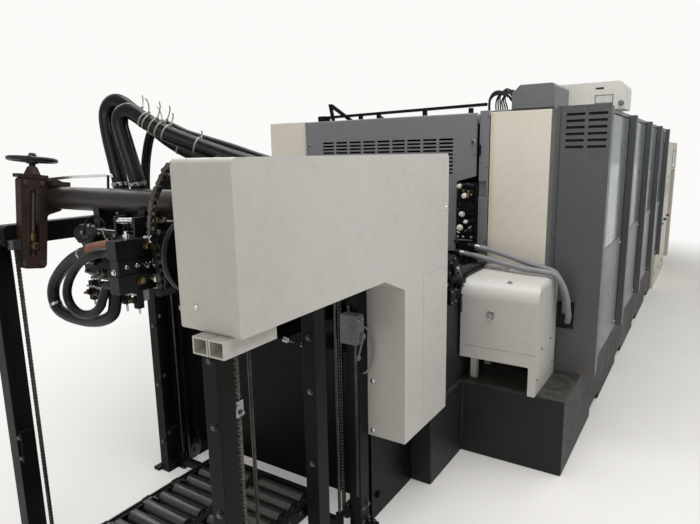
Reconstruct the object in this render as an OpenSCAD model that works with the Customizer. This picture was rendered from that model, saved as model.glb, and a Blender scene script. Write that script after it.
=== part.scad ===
// Sheetfed offset printing press in four colours, 29 inch class.
// X runs with the sheet, from the feeder to the delivery. Y points to the drive side.
// The origin is on the floor, on the centre line, under the infeed face of the first unit.

/* [Printing units] */
// Distance from one printing unit to the next
unit_pitch = 915; // [890:5:960]
// Clear width between the side frames of the units
frame_gap = 1050; // [1010:2:1090]
// Thickness of a cast side frame
frame_t = 53; // [40:1:70]
// Height of the base bed that carries the units
bed_h = 350; // [300:5:420]
// Height of the operator side covers above the floor
cover_top = 1598; // [1560:2:1660]
// Length of a unit's tower along the press
tower_len = 610; // [560:5:660]
// Diameter of the plate and blanket cylinders
plate_d = 224; // [200:2:236]
// Diameter of the impression cylinders and transfer drums
drum_d = 448; // [420:2:456]

/* [Operator side] */
// Width of the cream panel on the infeed face
face_panel_w = 284; // [250:2:320]
// Width of the louvred panel on the infeed face
louvre_w = 228; // [228:2:270]
// Length of a side pillar along the press
pillar_len = 65; // [50:1:80]
// How far the pillars stand out from the side doors
door_recess = 37; // [28:1:50]
// Thickness of a side door
door_t = 24; // [18:1:32]
// Height of the lower edge of the side doors
door_bottom = 915; // [880:5:960]
// Gap round a side door
door_gap = 6; // [5:0.5:9]
// Width of the gear covers on the drive side
drive_cover_w = 273; // [240:2:320]

/* [Infeed guard] */
// Height of the guard's lower edge
guard_bottom = 905; // [900:1:940]
// Height at which the guard's wide upper part ends
guard_step = 1287; // [1250:1:1320]
// Columns of slots in the guard
slot_cols = 9; // [7:1:9]
// Distance between two columns of slots
slot_pitch_y = 90; // [86:1:92]
// Length of a slot
slot_len = 76; // [60:1:78]
// Distance between two rows of slots
slot_pitch_z = 18.5; // [17:0.5:20]
// Height of a slot
slot_h = 10; // [7:0.5:11]

/* [Feeder] */
// Clear width between the feeder's side frames
feeder_gap = 910; // [880:2:940]
// Thickness of the feeder's side frames
feeder_t = 50; // [40:1:60]
// Height of the top of the feeder cover
cover_h = 1400; // [1380:2:1440]
// Length of the feeder cover along the press
cover_len = 1163; // [1120:1:1200]
// Depth of the feeder cover across the press
cover_w = 190; // [170:1:220]
// Height of the underside of the cover's arm
cover_arm_z = 1000; // [980:2:1030]
// Height of the foot of the cover's leg
cover_foot_z = 373; // [360:1:420]
// Length of the cover's leg along the press
cover_leg_len = 366; // [340:1:400]
// Sheet thickness of the covers
sheet_t = 3; // [2:0.5:4]
// Diameter of the tube that carries the suction head
tube_d = 76; // [60:1:90]
// Lift of the pile table
lift = 800; // [700:10:820]
// Diameter of the rollers in the pile table
roller_d = 58; // [50:1:64]
// Diameter of the guide rods of the pile table
rod_d = 12; // [10:1:16]
// Diameter of the air hoses in the arch over the head
hose_d = 50; // [40:1:52]

/* [Delivery] */
// Length of the delivery along the press
delivery_len = 2300; // [2200:10:2500]
// Length of the pile bay at the delivery's end
bay_len = 900; // [820:10:960]

/* [Hidden] */
$fn = 48;
unit_count = 4;
// Clearance between a turning piece and its pin
run = 0.3;
// Gap kept between a moving piece and its neighbours
clear = 6;
// Small step that lets a cut pass through a face
eps = 1;

frame_in = frame_gap / 2;
frame_out = frame_in + frame_t;
panel_gap = 4;
louvre_gap = 23;
face_in = frame_out + panel_gap;
face_out = face_in + face_panel_w;
louvre_in = face_out + louvre_gap;
side_y = louvre_in + louvre_w;
door_y = side_y - door_recess;
units_len = unit_count * unit_pitch;
tower_top = cover_top - 17;
foot_gap = 12;
panel_z = bed_h + foot_gap;

feeder_in = feeder_gap / 2;
feeder_out = feeder_in + feeder_t;
cover_in = feeder_in + 10;
cover_out = cover_in + cover_w;
cover_x1 = -677;
cover_x0 = cover_x1 - cover_len;
leg_x0 = cover_x1 - cover_leg_len;
arm_under = cover_arm_z + 120;
arm_top = arm_under + 70;
tube_z = cover_h - 128;
rear_x = cover_x0 + 93;
front_x = leg_x0 - 34;
mid_x = front_x - 260;
post_w = 60;
rod_y = feeder_in - 25;
chain_rear_x = rear_x + 80;
chain_drive_x = rear_x - 8;
chain_front_x = front_x;
rod_rear_x = chain_rear_x + 87;
rod_front_x = chain_front_x - 62;
// Guide rods as [x, side]
rods = [[rod_rear_x, -1], [rod_front_x, -1], [rod_front_x, 1]];
// Chain loops as [x, side]
loops = [[chain_rear_x, -1], [chain_front_x, -1], [chain_front_x, 1]];
sprocket_r = 32;
sprocket_low = 60;
sprocket_high = arm_under - 60;
tube_x = rear_x + 140;

delivery_x = units_len;
delivery_end = delivery_x + delivery_len;

function unit_vec(v) = v / norm(v);
function corner(p0, p1, p2, r, n) = r <= 0 ? [p1] :
    let(a = unit_vec(p0 - p1), b = unit_vec(p2 - p1), half = acos(a * b) / 2,
        c = p1 + unit_vec(a + b) * r / sin(half), s = p1 + a * r / tan(half), e = p1 + b * r / tan(half),
        a0 = atan2(s.y - c.y, s.x - c.x), turn = ((atan2(e.y - c.y, e.x - c.x) - a0 + 540) % 360) - 180)
    [for (i = [0:n]) c + r * [cos(a0 + turn * i / n), sin(a0 + turn * i / n)]];
// Outline whose corners, given as [x, z, radius], are rounded
function rounded(q, n = 4) = [for (i = [0:len(q) - 1])
    let(m = len(q), p = q[(i + m - 1) % m], c = q[i], e = q[(i + 1) % m])
    each corner([p.x, p.y], [c.x, c.y], [e.x, e.y], c[2], n)];

// Box from its lowest to its highest corner
module block(a, b) { translate(a) cube(b - a); }
// Plate with an outline in X and Z, from y0 to y1
module plate_xz(y0, y1, outline) {
    translate([0, y1, 0]) rotate([90, 0, 0]) linear_extrude(y1 - y0) polygon(outline);
}
// Plate with an outline in Y and Z, from x0 to x1
module plate_yz(x0, x1, outline) {
    translate([x0, 0, 0]) rotate([90, 0, 90]) linear_extrude(x1 - x0) polygon(outline);
}
// Plate with an outline in X and Y, from z0 to z1
module plate_xy(z0, z1, outline) { translate([0, 0, z0]) linear_extrude(z1 - z0) polygon(outline); }
// Round bar along Y
module bar_y(x, z, d, y0, y1) { translate([x, y1, z]) rotate([90, 0, 0]) cylinder(d = d, h = y1 - y0); }
// Round bar along X
module bar_x(y, z, d, x0, x1) { translate([x0, y, z]) rotate([0, 90, 0]) cylinder(d = d, h = x1 - x0); }
// The same piece on both sides of the centre line
module both_sides() {
    children();
    mirror([0, 1, 0]) children();
}

// Base bed: a cast plinth under the units, with a lower step under the side covers
plinth_in = 60;
module base_bed() {
    color("#2b2d2f") difference() {
        union() {
            block([cover_x1 - 13, -frame_out - 20, 0], [units_len, frame_out + 20, bed_h]);
            block([cabinet_x0 + 20, -side_y + plinth_in, 0], [units_len, 0, bed_h]);
            block([30, 0, 0], [units_len, frame_out + drive_cover_w - plinth_in, bed_h]);
        }
        for (k = [0:unit_count - 1], s = [-1, 1])
            block([k * unit_pitch + 330, s > 0 ? 0 : -side_y, -eps], [k * unit_pitch + 590, s > 0 ? side_y : 0, 45]);
    }
}

// Feeder side frames: a leg behind the pile and a slim arm that reaches back over it
module feeder_frames() {
    color("#1d1f20") both_sides() plate_xz(feeder_in, feeder_out, rounded([
        [leg_x0 + 16, 0, 0], [cover_x1 - 13, 0, 0], [cover_x1 - 13, cover_h - 60, 60],
        [leg_x0 - 40, cover_h - 60, 70], [leg_x0 - 130, arm_top, 60], [rear_x - 30, arm_top, 20],
        [rear_x - 30, arm_under, 0], [front_x + 30, arm_under, 0], [leg_x0 + 16, arm_under - 70, 40]]));
}

// Posts under the arms. On the operator's side two square posts and a slotted guide rail,
// on the drive side a wide rail at the lead edge and a square pole outside the arm's tail
pole_x0 = rear_x - 53;
pole_w = 65;
module feeder_posts() {
    color("#1a1b1c") {
        for (x = [rear_x, mid_x])
            difference() {
                block([x - post_w / 2, -feeder_out, 0], [x + post_w / 2, -feeder_in, arm_under]);
                block([x - post_w / 2 + 6, -feeder_in - 38, 200], [x + post_w / 2 - 6, -feeder_in + eps, arm_under - 60]);
            }
        difference() {
            block([front_x - post_w / 2, -feeder_out, 0], [front_x + post_w / 2, -feeder_in, arm_under]);
            for (z = [120:120:arm_under - 120])
                block([front_x - 7, -feeder_in - 30, z], [front_x + 7, -feeder_in + eps, z + 60]);
        }
        for (x = [rear_x, mid_x, front_x])
            block([x - post_w / 2 - 15, -feeder_out - 35, 0], [x + post_w / 2 + 15, -feeder_out, 14]);
        difference() {
            block([front_x - 130, feeder_in, 0], [front_x + post_w / 2, feeder_out, arm_under]);
            block([front_x - 110, feeder_in - eps, 200], [front_x - 60, feeder_in + 30, arm_under - 80]);
        }
        block([front_x - 145, feeder_out, 0], [front_x + post_w / 2 + 15, feeder_out + 35, 14]);
        block([pole_x0, feeder_out, 0], [pole_x0 + pole_w, feeder_out + 55, arm_top - 20]);
        block([pole_x0 - 15, feeder_out, 0], [pole_x0 + pole_w + 15, feeder_out + 80, 14]);
        block([pole_x0 + 8, feeder_out - 14, 330], [pole_x0 + 48, feeder_out, 450]);
    }
}

// Beams, plates and brackets between the two feeder frames
hook_x = rear_x + 67;
hook_z = cover_h - 16;
hook_end = -290;
junction_x0 = tube_x + 172;
junction_y = -feeder_in - 3;
disc_x = rear_x + 25;
disc_z = arm_top - 32;
module feeder_cross_beams() {
    color("#232526") {
        block([leg_x0 + 150, -feeder_in, 110], [leg_x0 + 210, feeder_in, 210]);
        block([leg_x0 + 60, -feeder_in, arm_under + 70], [leg_x0 + 120, feeder_in, arm_under + 140]);
        bar_y(cover_x1 - 60, arm_under - 210, 50, -feeder_in, feeder_in);
        block([leg_x0 - 10, -feeder_in + 60, arm_under - 230], [leg_x0, feeder_in - 60, arm_under - 25]);
        block([leg_x0 + 8, -feeder_in - 20, 90], [leg_x0 + 16, feeder_in + 20, 672]);
        for (y = [-300, -100, 100, 300])
            block([leg_x0, y - 12, arm_under - 196], [leg_x0 + 165, y + 12, arm_under - 166]);
        block([leg_x0 + 165, -feeder_in, arm_under - 208], [leg_x0 + 205, feeder_in, arm_under - 150]);
        block([hook_x - 14, -feeder_in - 25, arm_top], [hook_x + 14, -feeder_in - 3, hook_z + 4]);
        bar_y(hook_x, hook_z, 18, -feeder_in - 14, hook_end);
        block([junction_x0, junction_y - 42, arm_top], [junction_x0 + 150, junction_y, cover_h - 10]);
        bar_y(disc_x, disc_z, 210, -feeder_in + 43, -feeder_in + 57);
        bar_y(disc_x, disc_z, 60, -feeder_in, -feeder_in + 70);
    }
}

// Tube across the feeder that carries the suction head
module head_tube() {
    color("#35383a") difference() {
        bar_y(tube_x, tube_z, tube_d, -feeder_in, bracket_y0);
        bar_y(tube_x, tube_z, tube_d - 12, -feeder_in - eps, feeder_in / 2);
    }
    color("#2a2c2e") difference() {
        block([tube_x - 55, -feeder_in, arm_under + 105], [tube_x + 55, -feeder_in + 22, tube_z + 55]);
        bar_y(tube_x, tube_z, tube_d - 8, -feeder_in - eps, -feeder_in + 30);
    }
}

// Slotted casting on the drive side that holds the tube and the handwheel's spindle.
// It leans forward, so it is drawn in its own frame about the tube's axis
bracket_t = 34;
bracket_y0 = feeder_in - bracket_t;
bracket_lean = 7;
bracket_top = 62;
bracket_u = -118;
slot_u = -86;
spindle_u = -70;
spindle_d = 20;
wheel_w = 124;
wheel_y = bracket_y0 + bracket_t / 2;
module leaning() { translate([tube_x, 0, tube_z]) rotate([0, bracket_lean, 0]) children(); }
module tube_bracket() {
    color("#4a2f26") leaning() {
        difference() {
            plate_xz(bracket_y0, bracket_y0 + bracket_t, rounded([
                [bracket_u, bracket_top, 10], [bracket_u + 8, -244, 16], [-28, -246, 16], [-26, -62, 12], [20, -46, 14],
                [44, -20, 14], [44, 44, 22], [16, bracket_top, 14]]));
            plate_xz(bracket_y0 - eps, bracket_y0 + bracket_t + eps, rounded([
                [slot_u, 22, 10], [slot_u, -204, 10], [slot_u + 33, -204, 10], [slot_u + 33, 22, 10]]));
        }
        translate([spindle_u, wheel_y, bracket_top + 12]) cylinder(d1 = 52, d2 = 30, h = 26);
        block([bracket_u - 8, bracket_y0 - 4, bracket_top], [slot_u + 60, bracket_y0 + bracket_t - 1, bracket_top + 12]);
        block([-24, bracket_y0 - 26, bracket_top - 22], [40, bracket_y0, bracket_top - 6]);
    }
    color("#8d9092") leaning() {
        translate([spindle_u, wheel_y, bracket_top + 36]) cylinder(d = spindle_d, h = wheel_w - bracket_top - 22);
        translate([spindle_u, wheel_y, -214]) cylinder(d = spindle_d, h = 244);
    }
}

// Handwheel that sets the height of the suction head
wheel_d = 158;
module handwheel() {
    color("#1c1d1e") leaning() translate([spindle_u, wheel_y, wheel_w]) difference() {
        union() {
            rotate_extrude() translate([wheel_d / 2 - 8, 0]) circle(d = 16);
            cylinder(d = 40, h = 28, center = true);
            for (a = [30, 150, 270]) rotate(a) translate([10, -6, -5]) cube([wheel_d / 2 - 18, 12, 10]);
        }
        cylinder(d = spindle_d + 2 * run, h = 60, center = true);
    }
}

// Sheet metal cover over the operator's side of the feeder, open towards the machine
function cover_outline(i) = rounded([
    [cover_x0 + i, cover_h - i, 18 - i], [cover_x0 + i, cover_arm_z + i, 10 - i],
    [leg_x0 - 139, cover_arm_z + i, 0], [leg_x0 + i, cover_arm_z - 55, 0], [leg_x0 + i, cover_foot_z + i, 0],
    [cover_x1 - i, cover_foot_z + i, 0], [cover_x1 - i, cover_h - i, 22 - i]]);
channel_h = 42;
channel_w = 48;
seam_z = cover_arm_z - 30;
seam_x = cover_x1 - 219;
module feeder_cover() {
    color("#d9d8d0") difference() {
        plate_xz(-cover_out, -cover_in, cover_outline(0));
        plate_xz(-cover_out + sheet_t, -cover_in + eps, cover_outline(sheet_t));
        block([cover_x0 + sheet_t, -feeder_out - 12, cover_arm_z - eps], [leg_x0 - 139, -cover_in + eps, cover_arm_z + 20]);
        block([leg_x0 - 139 - eps, -feeder_out - 12, cover_arm_z - 60], [leg_x0, -cover_in + eps, cover_arm_z + 20]);
        block([leg_x0 + sheet_t, -feeder_out - 12, cover_foot_z - eps], [cover_x1 - sheet_t, -cover_in + eps, cover_foot_z + 20]);
        block([seam_x - 2, -cover_out - eps, cover_foot_z + 30], [seam_x + 1, -cover_out + 1, seam_z]);
        block([seam_x - 2, -cover_out - eps, seam_z - 3], [cover_x1 - 18, -cover_out + 1, seam_z]);
    }
    color("#b9b8b0") for (x = [cover_x0 + 260, cover_x1 - 150])
        bar_y(x, arm_under + 35, 30, -cover_out + sheet_t, -feeder_out);
    color("#b9b8b0") bar_y(cover_x1 - 150, cover_h - 110, 30, -cover_out + sheet_t, -feeder_out);
    // Two channels side by side under the cover's near end
    color("#d3d2ca") for (y = [-cover_out + 23, -cover_out + 26 + channel_w])
        difference() {
            block([cover_x0 - 30, y, cover_arm_z - channel_h], [cover_x0 + 150, y + channel_w, cover_arm_z]);
            block([cover_x0 - 30 - eps, y + 4, cover_arm_z - channel_h + 4],
                [cover_x0 + 150 + eps, y + channel_w - 4, cover_arm_z - 4]);
        }
}

// Suction head: a casting that hangs from the tube on two welded saddles, with its cross rods,
// a manifold for the hoses at its tail and a lug for the slack chain
head_z1 = tube_z - 82;
head_z0 = head_z1 - 180;
head_x0 = tube_x - 60;
head_x1 = tube_x + 150;
head_half = 190;
module suction_head() {
    color("#26292a") difference() {
        union() {
            plate_xz(-head_half, head_half, rounded([
                [head_x0, head_z0 + 30, 12], [head_x0 + 40, head_z0, 12], [head_x1, head_z0, 12],
                [head_x1, head_z1 - 40, 20], [head_x1 - 30, head_z1, 12], [head_x0, head_z1, 12]]));
            for (y = [-95, 130]) block([tube_x - 30, y, head_z1 - 10], [tube_x + 30, y + 30, tube_z]);
            bar_y(head_x0 + 40, head_z1 - 30, 60, head_half, head_half + 60);
            bar_y(head_x1 - 40, head_z0 + 50, 34, -330, 330);
            bar_y(head_x0 + 60, head_z0 + 60, 24, -260, 260);
            for (z = loop_ports) block([loop_x - 44, -160, z - 26], [head_x0 + 1, loop_port_y, z + 26]);
            for (y = [-230, 230]) block([head_x1 - 60, y - 20, head_z0 + 24], [head_x1 - 16, y + 20, head_z0 + 92]);
            block([head_x1 - 60, 290, head_z0 + 30], [head_x1 + 85, 350, head_z0 + 70]);
            block([hook_x - 12, -head_half - 18, head_z0 + 2], [head_x0 + 30, -head_half + 6, head_z0 + 22]);
        }
        bar_y(tube_x, tube_z, tube_d, -200, 200);
    }
}

// Lifting and forwarding suckers, tail blowers and the pressure foot below the head
module sucker_feet() {
    color("#77797a") for (y = [-230, -90, 90, 230]) {
        translate([head_x1 - 40, y, head_z0 - 40]) cylinder(d = 22, h = (abs(y) < head_half ? 40 : 64) - run);
        translate([head_x1 - 40, y, head_z0 - 52]) cylinder(d1 = 36, d2 = 24, h = 14);
    }
    color("#77797a") for (y = [-215, 215]) {
        translate([head_x0 + 60, y, head_z0 - 44]) cylinder(d = 16, h = 92 - run);
        block([head_x0 + 46, y - 20, head_z0 - 56], [head_x0 + 74, y + 20, head_z0 - 42]);
    }
    color("#77797a") block([head_x0 + 60, -12, head_z0 - 56], [head_x0 + 84, 12, head_z0]);
}

// Chain sprockets on stub shafts, and the two ends of the straight chain at the drive side's tail
chain_t = 12;
chain_w = 16;
module hoist_sprockets() {
    color("#54575a") {
        for (q = loops, z = [sprocket_low, sprocket_high]) mirror([0, q.y < 0 ? 1 : 0, 0]) {
            bar_y(q.x, z, 2 * (sprocket_r - chain_t / 2 - run), rod_y - chain_w / 2, rod_y + chain_w / 2);
            bar_y(q.x, z, 24, rod_y, feeder_in);
        }
        for (z = [sprocket_low, sprocket_high])
            block([rear_x + post_w / 2, -feeder_in - 14, z - 25], [chain_rear_x + 24, -feeder_in, z + 25]);
        block([chain_drive_x - 16, rod_y - 12, 0], [chain_drive_x + 16, rod_y + 12, 14]);
        block([chain_drive_x - 14, rod_y - 12, arm_under - 10], [chain_drive_x + 14, feeder_in, arm_under + 22]);
    }
}

// Hoist chains: closed loops over the sprockets, one straight length, and a slack chain beside the head
slack_chain = [[hook_end + 6, hook_z], [-262, hook_z - 12], [-240, hook_z - 38], [-200, hook_z - 92],
    [-180, hook_z - 150], [-176, hook_z - 200], [-188, hook_z - 235], [-197, hook_z - 280], [-199, head_z0 + 60],
    [-199, head_z0 + 22.3]];
function ribbon(q, w) = let(n = len(q), s = [for (i = [0:n - 1]) let(t = unit_vec(q[min(i + 1, n - 1)] - q[max(i - 1, 0)]))
    [-t.y, t.x] * w / 2]) concat([for (i = [0:n - 1]) q[i] + s[i]], [for (i = [n - 1:-1:0]) q[i] - s[i]]);
module hoist_chains() {
    color("#6d6a63") {
        for (q = loops) mirror([0, q.y < 0 ? 1 : 0, 0]) difference() {
            chain_band(q.x, sprocket_r + chain_t / 2, chain_w);
            chain_band(q.x, sprocket_r - chain_t / 2, chain_w + 2 * eps);
        }
        block([chain_drive_x - chain_t / 2, rod_y - chain_w / 2, 14],
            [chain_drive_x + chain_t / 2, rod_y + chain_w / 2, arm_under - 10]);
        plate_yz(hook_x - chain_w / 2, hook_x + chain_w / 2, ribbon(slack_chain, chain_t));
    }
}
module chain_band(x, r, w) {
    for (z = [sprocket_low, sprocket_high]) bar_y(x, z, 2 * r, rod_y - w / 2, rod_y + w / 2);
    block([x - r, rod_y - w / 2, sprocket_low], [x + r, rod_y + w / 2, sprocket_high]);
}

// Guide rods of the pile table, held under the arms and at the floor
module guide_rods() {
    color("#8a8d8f") for (q = rods) mirror([0, q.y < 0 ? 1 : 0, 0]) {
        translate([q.x, rod_y, 0]) cylinder(d = rod_d, h = arm_under + 30);
        block([q.x - 14, rod_y - 14, arm_under - 16], [q.x + 14, feeder_in, arm_under + 8]);
        block([q.x - 14, rod_y - 14, 0], [q.x + 14, feeder_in, 12]);
    }
}

// Limit switch of the pile on the operator's guide rail, with its strike lever
switch_z = 755;
module pile_switch() {
    color("#85888b") {
        block([front_x - post_w / 2 - 46, -feeder_out - 22, switch_z], [front_x - post_w / 2, -feeder_in - 2, switch_z + 105]);
        bar_y(front_x - post_w / 2 - 22, switch_z + 30, 24, -feeder_out - 34, -feeder_out - 22);
    }
}

// Pile table: a welded frame that hangs on four lugs at the chains and runs on the rods
table_z0 = 18;
table_top = 85;
table_half = 285;
table_rear = rear_x + 4;
table_front = front_x + 12;
rail_w = 26;
eye_d = 30;
module pile_table() {
    color("#232526") difference() {
        union() {
            for (y = [-table_half, -14, table_half - rail_w])
                block([table_rear, y, table_z0], [table_front, y + (y == -14 ? 28 : rail_w), table_top - 12]);
            for (x = [table_rear, table_front - 24])
                block([x, -table_half, table_z0], [x + 24, table_half, table_top - 12]);
            for (q = rods) mirror([0, q.y < 0 ? 1 : 0, 0]) {
                block([q.x - 14, table_half - 1, table_z0 + 2], [q.x + 14, rod_y, table_z0 + 30]);
                translate([q.x, rod_y, table_z0 + 2]) cylinder(d = eye_d, h = 54);
            }
            block([table_rear, table_half - 1, table_z0 + 2], [table_rear + 28, rod_y + 6, table_z0 + 30]);
        }
        for (q = rods) mirror([0, q.y < 0 ? 1 : 0, 0])
            translate([q.x, rod_y, 0]) cylinder(d = rod_d + 4 * run, h = 200);
        for (k = [0:roller_n - 1], s = [-1, 1])
            bar_y(roller_x(k), roller_z, 18 + 2 * run, s > 0 ? 8 : -table_half + 8, s > 0 ? table_half - 8 : -8);
    }
}

// Rollers in two rows across the table, on plain pins
roller_n = 9;
roller_z = table_top - roller_d / 2;
function roller_x(k) = table_rear + 60 + k * (table_front - table_rear - 120) / (roller_n - 1);
module table_rollers() {
    color("#4b4e50") for (k = [0:roller_n - 1], s = [0, 1]) mirror([0, s, 0]) {
        bar_y(roller_x(k), roller_z, roller_d, 26, table_half - rail_w - 12);
        bar_y(roller_x(k), roller_z, 18, 8, table_half - 8);
    }
}

// Feed board: a sloping sheet metal bed from the suction head to the front lays
board_half = 410;
board_x0 = leg_x0 + 150;
board_high = arm_under - 50;
board_low = guard_bottom - 25;
module feed_board() {
    color("#9a9c9b") {
        plate_xz(-board_half, board_half, [[board_x0, board_high], [board_x0, board_high - 25],
            [-150, board_low - 22], [-70, board_low - 26], [-70, board_low - 2], [-150, board_low]]);
        for (y = [-board_half, board_half - 12])
            plate_xz(y, y + 12, [[board_x0, board_high + 12], [board_x0, board_high - 70], [-90, board_low - 60],
                [-90, board_low + 6]]);
    }
    color("#3a3d3f") bar_y(-110, board_low - 62, 40, -frame_in, frame_in);
}

// Damper drive in the corner beside the guard's narrow lower part, with its adjusting knobs
drive_y0 = -frame_in + clear;
drive_y1 = -frame_in + 92;
drive_face = -20;
gland_x = drive_face - 32;
gland_z = [939, 903];
// Knobs as [y, z, diameter]
knobs = [[-446, 1238, 24], [-474, 1190, 30], [-462, 1100, 30], [-482, 1062, 20], [-452, 1030, 32]];
module damper_drive() {
    color("#1f2224") difference() {
        union() {
            block([drive_face, -frame_in, 880], [12, drive_y1, 1252]);
            block([drive_face - 16, drive_y0, 894], [drive_face, drive_y1 - 8, 990]);
            bar_x(-frame_in + 54, 1152, 70, drive_face - 24, drive_face);
            bar_x(-frame_in + 30, 1132, 46, drive_face - 36, drive_face);
            bar_x(-frame_in + 74, 1132, 30, drive_face - 18, drive_face);
            block([drive_face - 14, drive_y0 + 8, 994], [drive_face, drive_y1 - 12, 1007]);
            bar_y(gland_x, gland_z.x, conduit_d + 12, -frame_out + 38, -frame_in + 20);
            block([gland_x, -frame_in + clear, gland_z.x - 13], [drive_face, -frame_in + 18, gland_z.x + 13]);
            bar_y(gland_x, gland_z.y, conduit_d + 12, drive_y1 - 28.3, drive_y1 - 4);
            block([gland_x, drive_y1 - 24, gland_z.y - 12], [drive_face - 15, drive_y1 - 8, gland_z.y + 12]);
        }
        for (q = knobs) bar_x(q.x, q.y, q.z * 0.6 + 2 * run, drive_face - 60, drive_face - run);
    }
}
module damper_knobs() {
    color("#cfccc4") for (q = knobs) {
        bar_x(q.x, q.y, q.z, drive_face - 58, drive_face - 37);
        bar_x(q.x, q.y, q.z * 0.6, drive_face - 37, drive_face - run);
    }
}

// Slotted guard over the inking unit, with a tubular hinge along its top edge, that swings up to the feeder
guard_half = frame_in - clear;
guard_notch = 98;
guard_t = 14;
guard_x = -guard_t - 2;
hinge_x = guard_x + guard_t / 2;
hinge_z = cover_top - 14;
hinge_pin_d = 8;
slot_rows = 1 + floor((hinge_z - 118 - guard_step) / slot_pitch_z);
low_rows = floor((guard_step - guard_bottom - 50) / slot_pitch_z);
module infeed_guard() {
    slot_y0 = -(slot_cols - 1) / 2 * slot_pitch_y;
    color("#5f5d63") difference() {
        union() {
            plate_yz(guard_x, guard_x + guard_t, rounded([[-guard_half + guard_notch, guard_bottom, 12],
                [guard_half - 4, guard_bottom, 12], [guard_half, hinge_z, 0], [-guard_half, hinge_z, 0],
                [-guard_half, guard_step, 8], [-guard_half + guard_notch, guard_step - 26, 8]]));
            bar_y(hinge_x, hinge_z, guard_t, -guard_half, guard_half);
            for (y = [-guard_half + 16, guard_half - 30]) bar_x(y, hinge_z - 130, 14, guard_x - 5, guard_x);
            block([guard_x - 6, -guard_half, hinge_z - 190], [guard_x, -guard_half + 12, hinge_z - 130]);
        }
        for (c = [0:slot_cols - 1], r = [0:slot_rows - 1])
            block([guard_x - eps, slot_y0 + c * slot_pitch_y - slot_len / 2, guard_step + 10 + r * slot_pitch_z],
                [guard_x + guard_t + eps, slot_y0 + c * slot_pitch_y + slot_len / 2, guard_step + 10 + r * slot_pitch_z + slot_h]);
        for (c = [1:slot_cols - 1], r = [0:low_rows - 1])
            block([guard_x - eps, slot_y0 + c * slot_pitch_y - slot_len / 2 + 6, guard_bottom + 22 + r * slot_pitch_z],
                [guard_x + guard_t + eps, slot_y0 + c * slot_pitch_y + slot_len / 2, guard_bottom + 22 + r * slot_pitch_z + slot_h]);
        bar_y(hinge_x, hinge_z, hinge_pin_d + 2 * run, -guard_half - eps, guard_half + eps);
    }
}

// Cabinet beside the infeed, with a large rounded edge, a raised cap and a foot at its outer end
cabinet_x1 = -17;
cabinet_x0 = cabinet_x1 - 344;
cabinet_y0 = -face_out - 69;
cabinet_y1 = -face_in - 8;
cabinet_top = bed_h + 490;
cabinet_low = bed_h + 130;
module floor_cabinet() {
    color("#d9d8d0") difference() {
        plate_yz(cabinet_x0, cabinet_x1, rounded([[cabinet_y0, bed_h, 0], [cabinet_y0 + 32, bed_h, 0],
            [cabinet_y0 + 32, cabinet_low, 6], [cabinet_y1, cabinet_low, 0], [cabinet_y1, cabinet_top, 4],
            [cabinet_y0, cabinet_top, 26]]));
        block([cabinet_x0 - eps, cabinet_y0 - 25, cabinet_low + 57], [cabinet_x0 + 2, cabinet_y1 + 30, cabinet_low + 60]);
        difference() {
            block([cabinet_x0 - eps, cabinet_y0 - 25, cabinet_top - 80], [cabinet_x0 + 80, cabinet_y1 + 30, cabinet_top + 1]);
            bar_y(cabinet_x0 + 80, cabinet_top - 80, 160, cabinet_y0 - 26, cabinet_y1 + 31);
        }
    }
    color("#d9d8d0") block([cabinet_x1 - 45, cabinet_y1 - 125, cabinet_top], [cabinet_x1, cabinet_y1 - 2, cabinet_top + 12]);
    color("#2b2d2f") for (x = [cabinet_x0 + 90, cabinet_x1 - 60])
        block([x, cabinet_y1 - 50, bed_h], [x + 30, cabinet_y1 - 20, cabinet_low]);
}

// Side frames of the four units, with a lower part between the towers and a jamb beside the guard
jamb_z = 925;
module unit_frames() {
    color("#3c4043") both_sides() {
        for (k = [0:unit_count - 1]) {
            x = k * unit_pitch;
            plate_xz(frame_in, frame_out, rounded([[x + 12, bed_h, 0], [x + unit_pitch + (k < unit_count - 1 ? 12 : 0), bed_h, 0],
                [x + unit_pitch + (k < unit_count - 1 ? 12 : 0), low_top, 0], [x + tower_len + 12, low_top, 40],
                [x + tower_len + 12, tower_top, 0], [x + 12, tower_top, 0]]));
        }
        plate_xz(frame_in, frame_out, rounded([[cover_x1 + 5, bed_h, 0], [12, bed_h, 0], [12, guard_bottom - 55, 0],
            [-300, guard_bottom - 25, 60], [-540, guard_bottom + 105, 60], [cover_x1 + 5, guard_bottom + 105, 30]]));
    }
    color("#5f5d63") difference() {
        block([0, -frame_out, jamb_z], [12, -frame_in - 3, cover_top + 2]);
        block([-eps, -frame_out + 13, guard_step - 107], [12 + eps, -frame_in + eps, guard_step - 27]);
    }
}

// Cylinders of each unit: plate and blanket cylinders over the impression cylinder and a transfer drum
low_top = cover_top - 508;
imp_z = bed_h + 290;
imp_x = 300;
blanket_z = imp_z + drum_d / 2 + plate_d / 2 + 3;
plate_x = imp_x - 30;
plate_z = blanket_z + plate_d + 2;
journal_d = 90;
module print_cylinders() {
    color("#9ea2a4") for (k = [0:unit_count - 1]) translate([k * unit_pitch, 0, 0]) {
        for (p = [[imp_x, imp_z, drum_d], [imp_x, blanket_z, plate_d], [plate_x, plate_z, plate_d],
            if (k < unit_count - 1) [imp_x + unit_pitch / 2, imp_z, drum_d]]) {
            bar_y(p.x, p.y, p.z, -frame_in + 22, frame_in - 22);
            bar_y(p.x, p.y, journal_d, -frame_in, frame_in);
        }
    }
}
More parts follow.
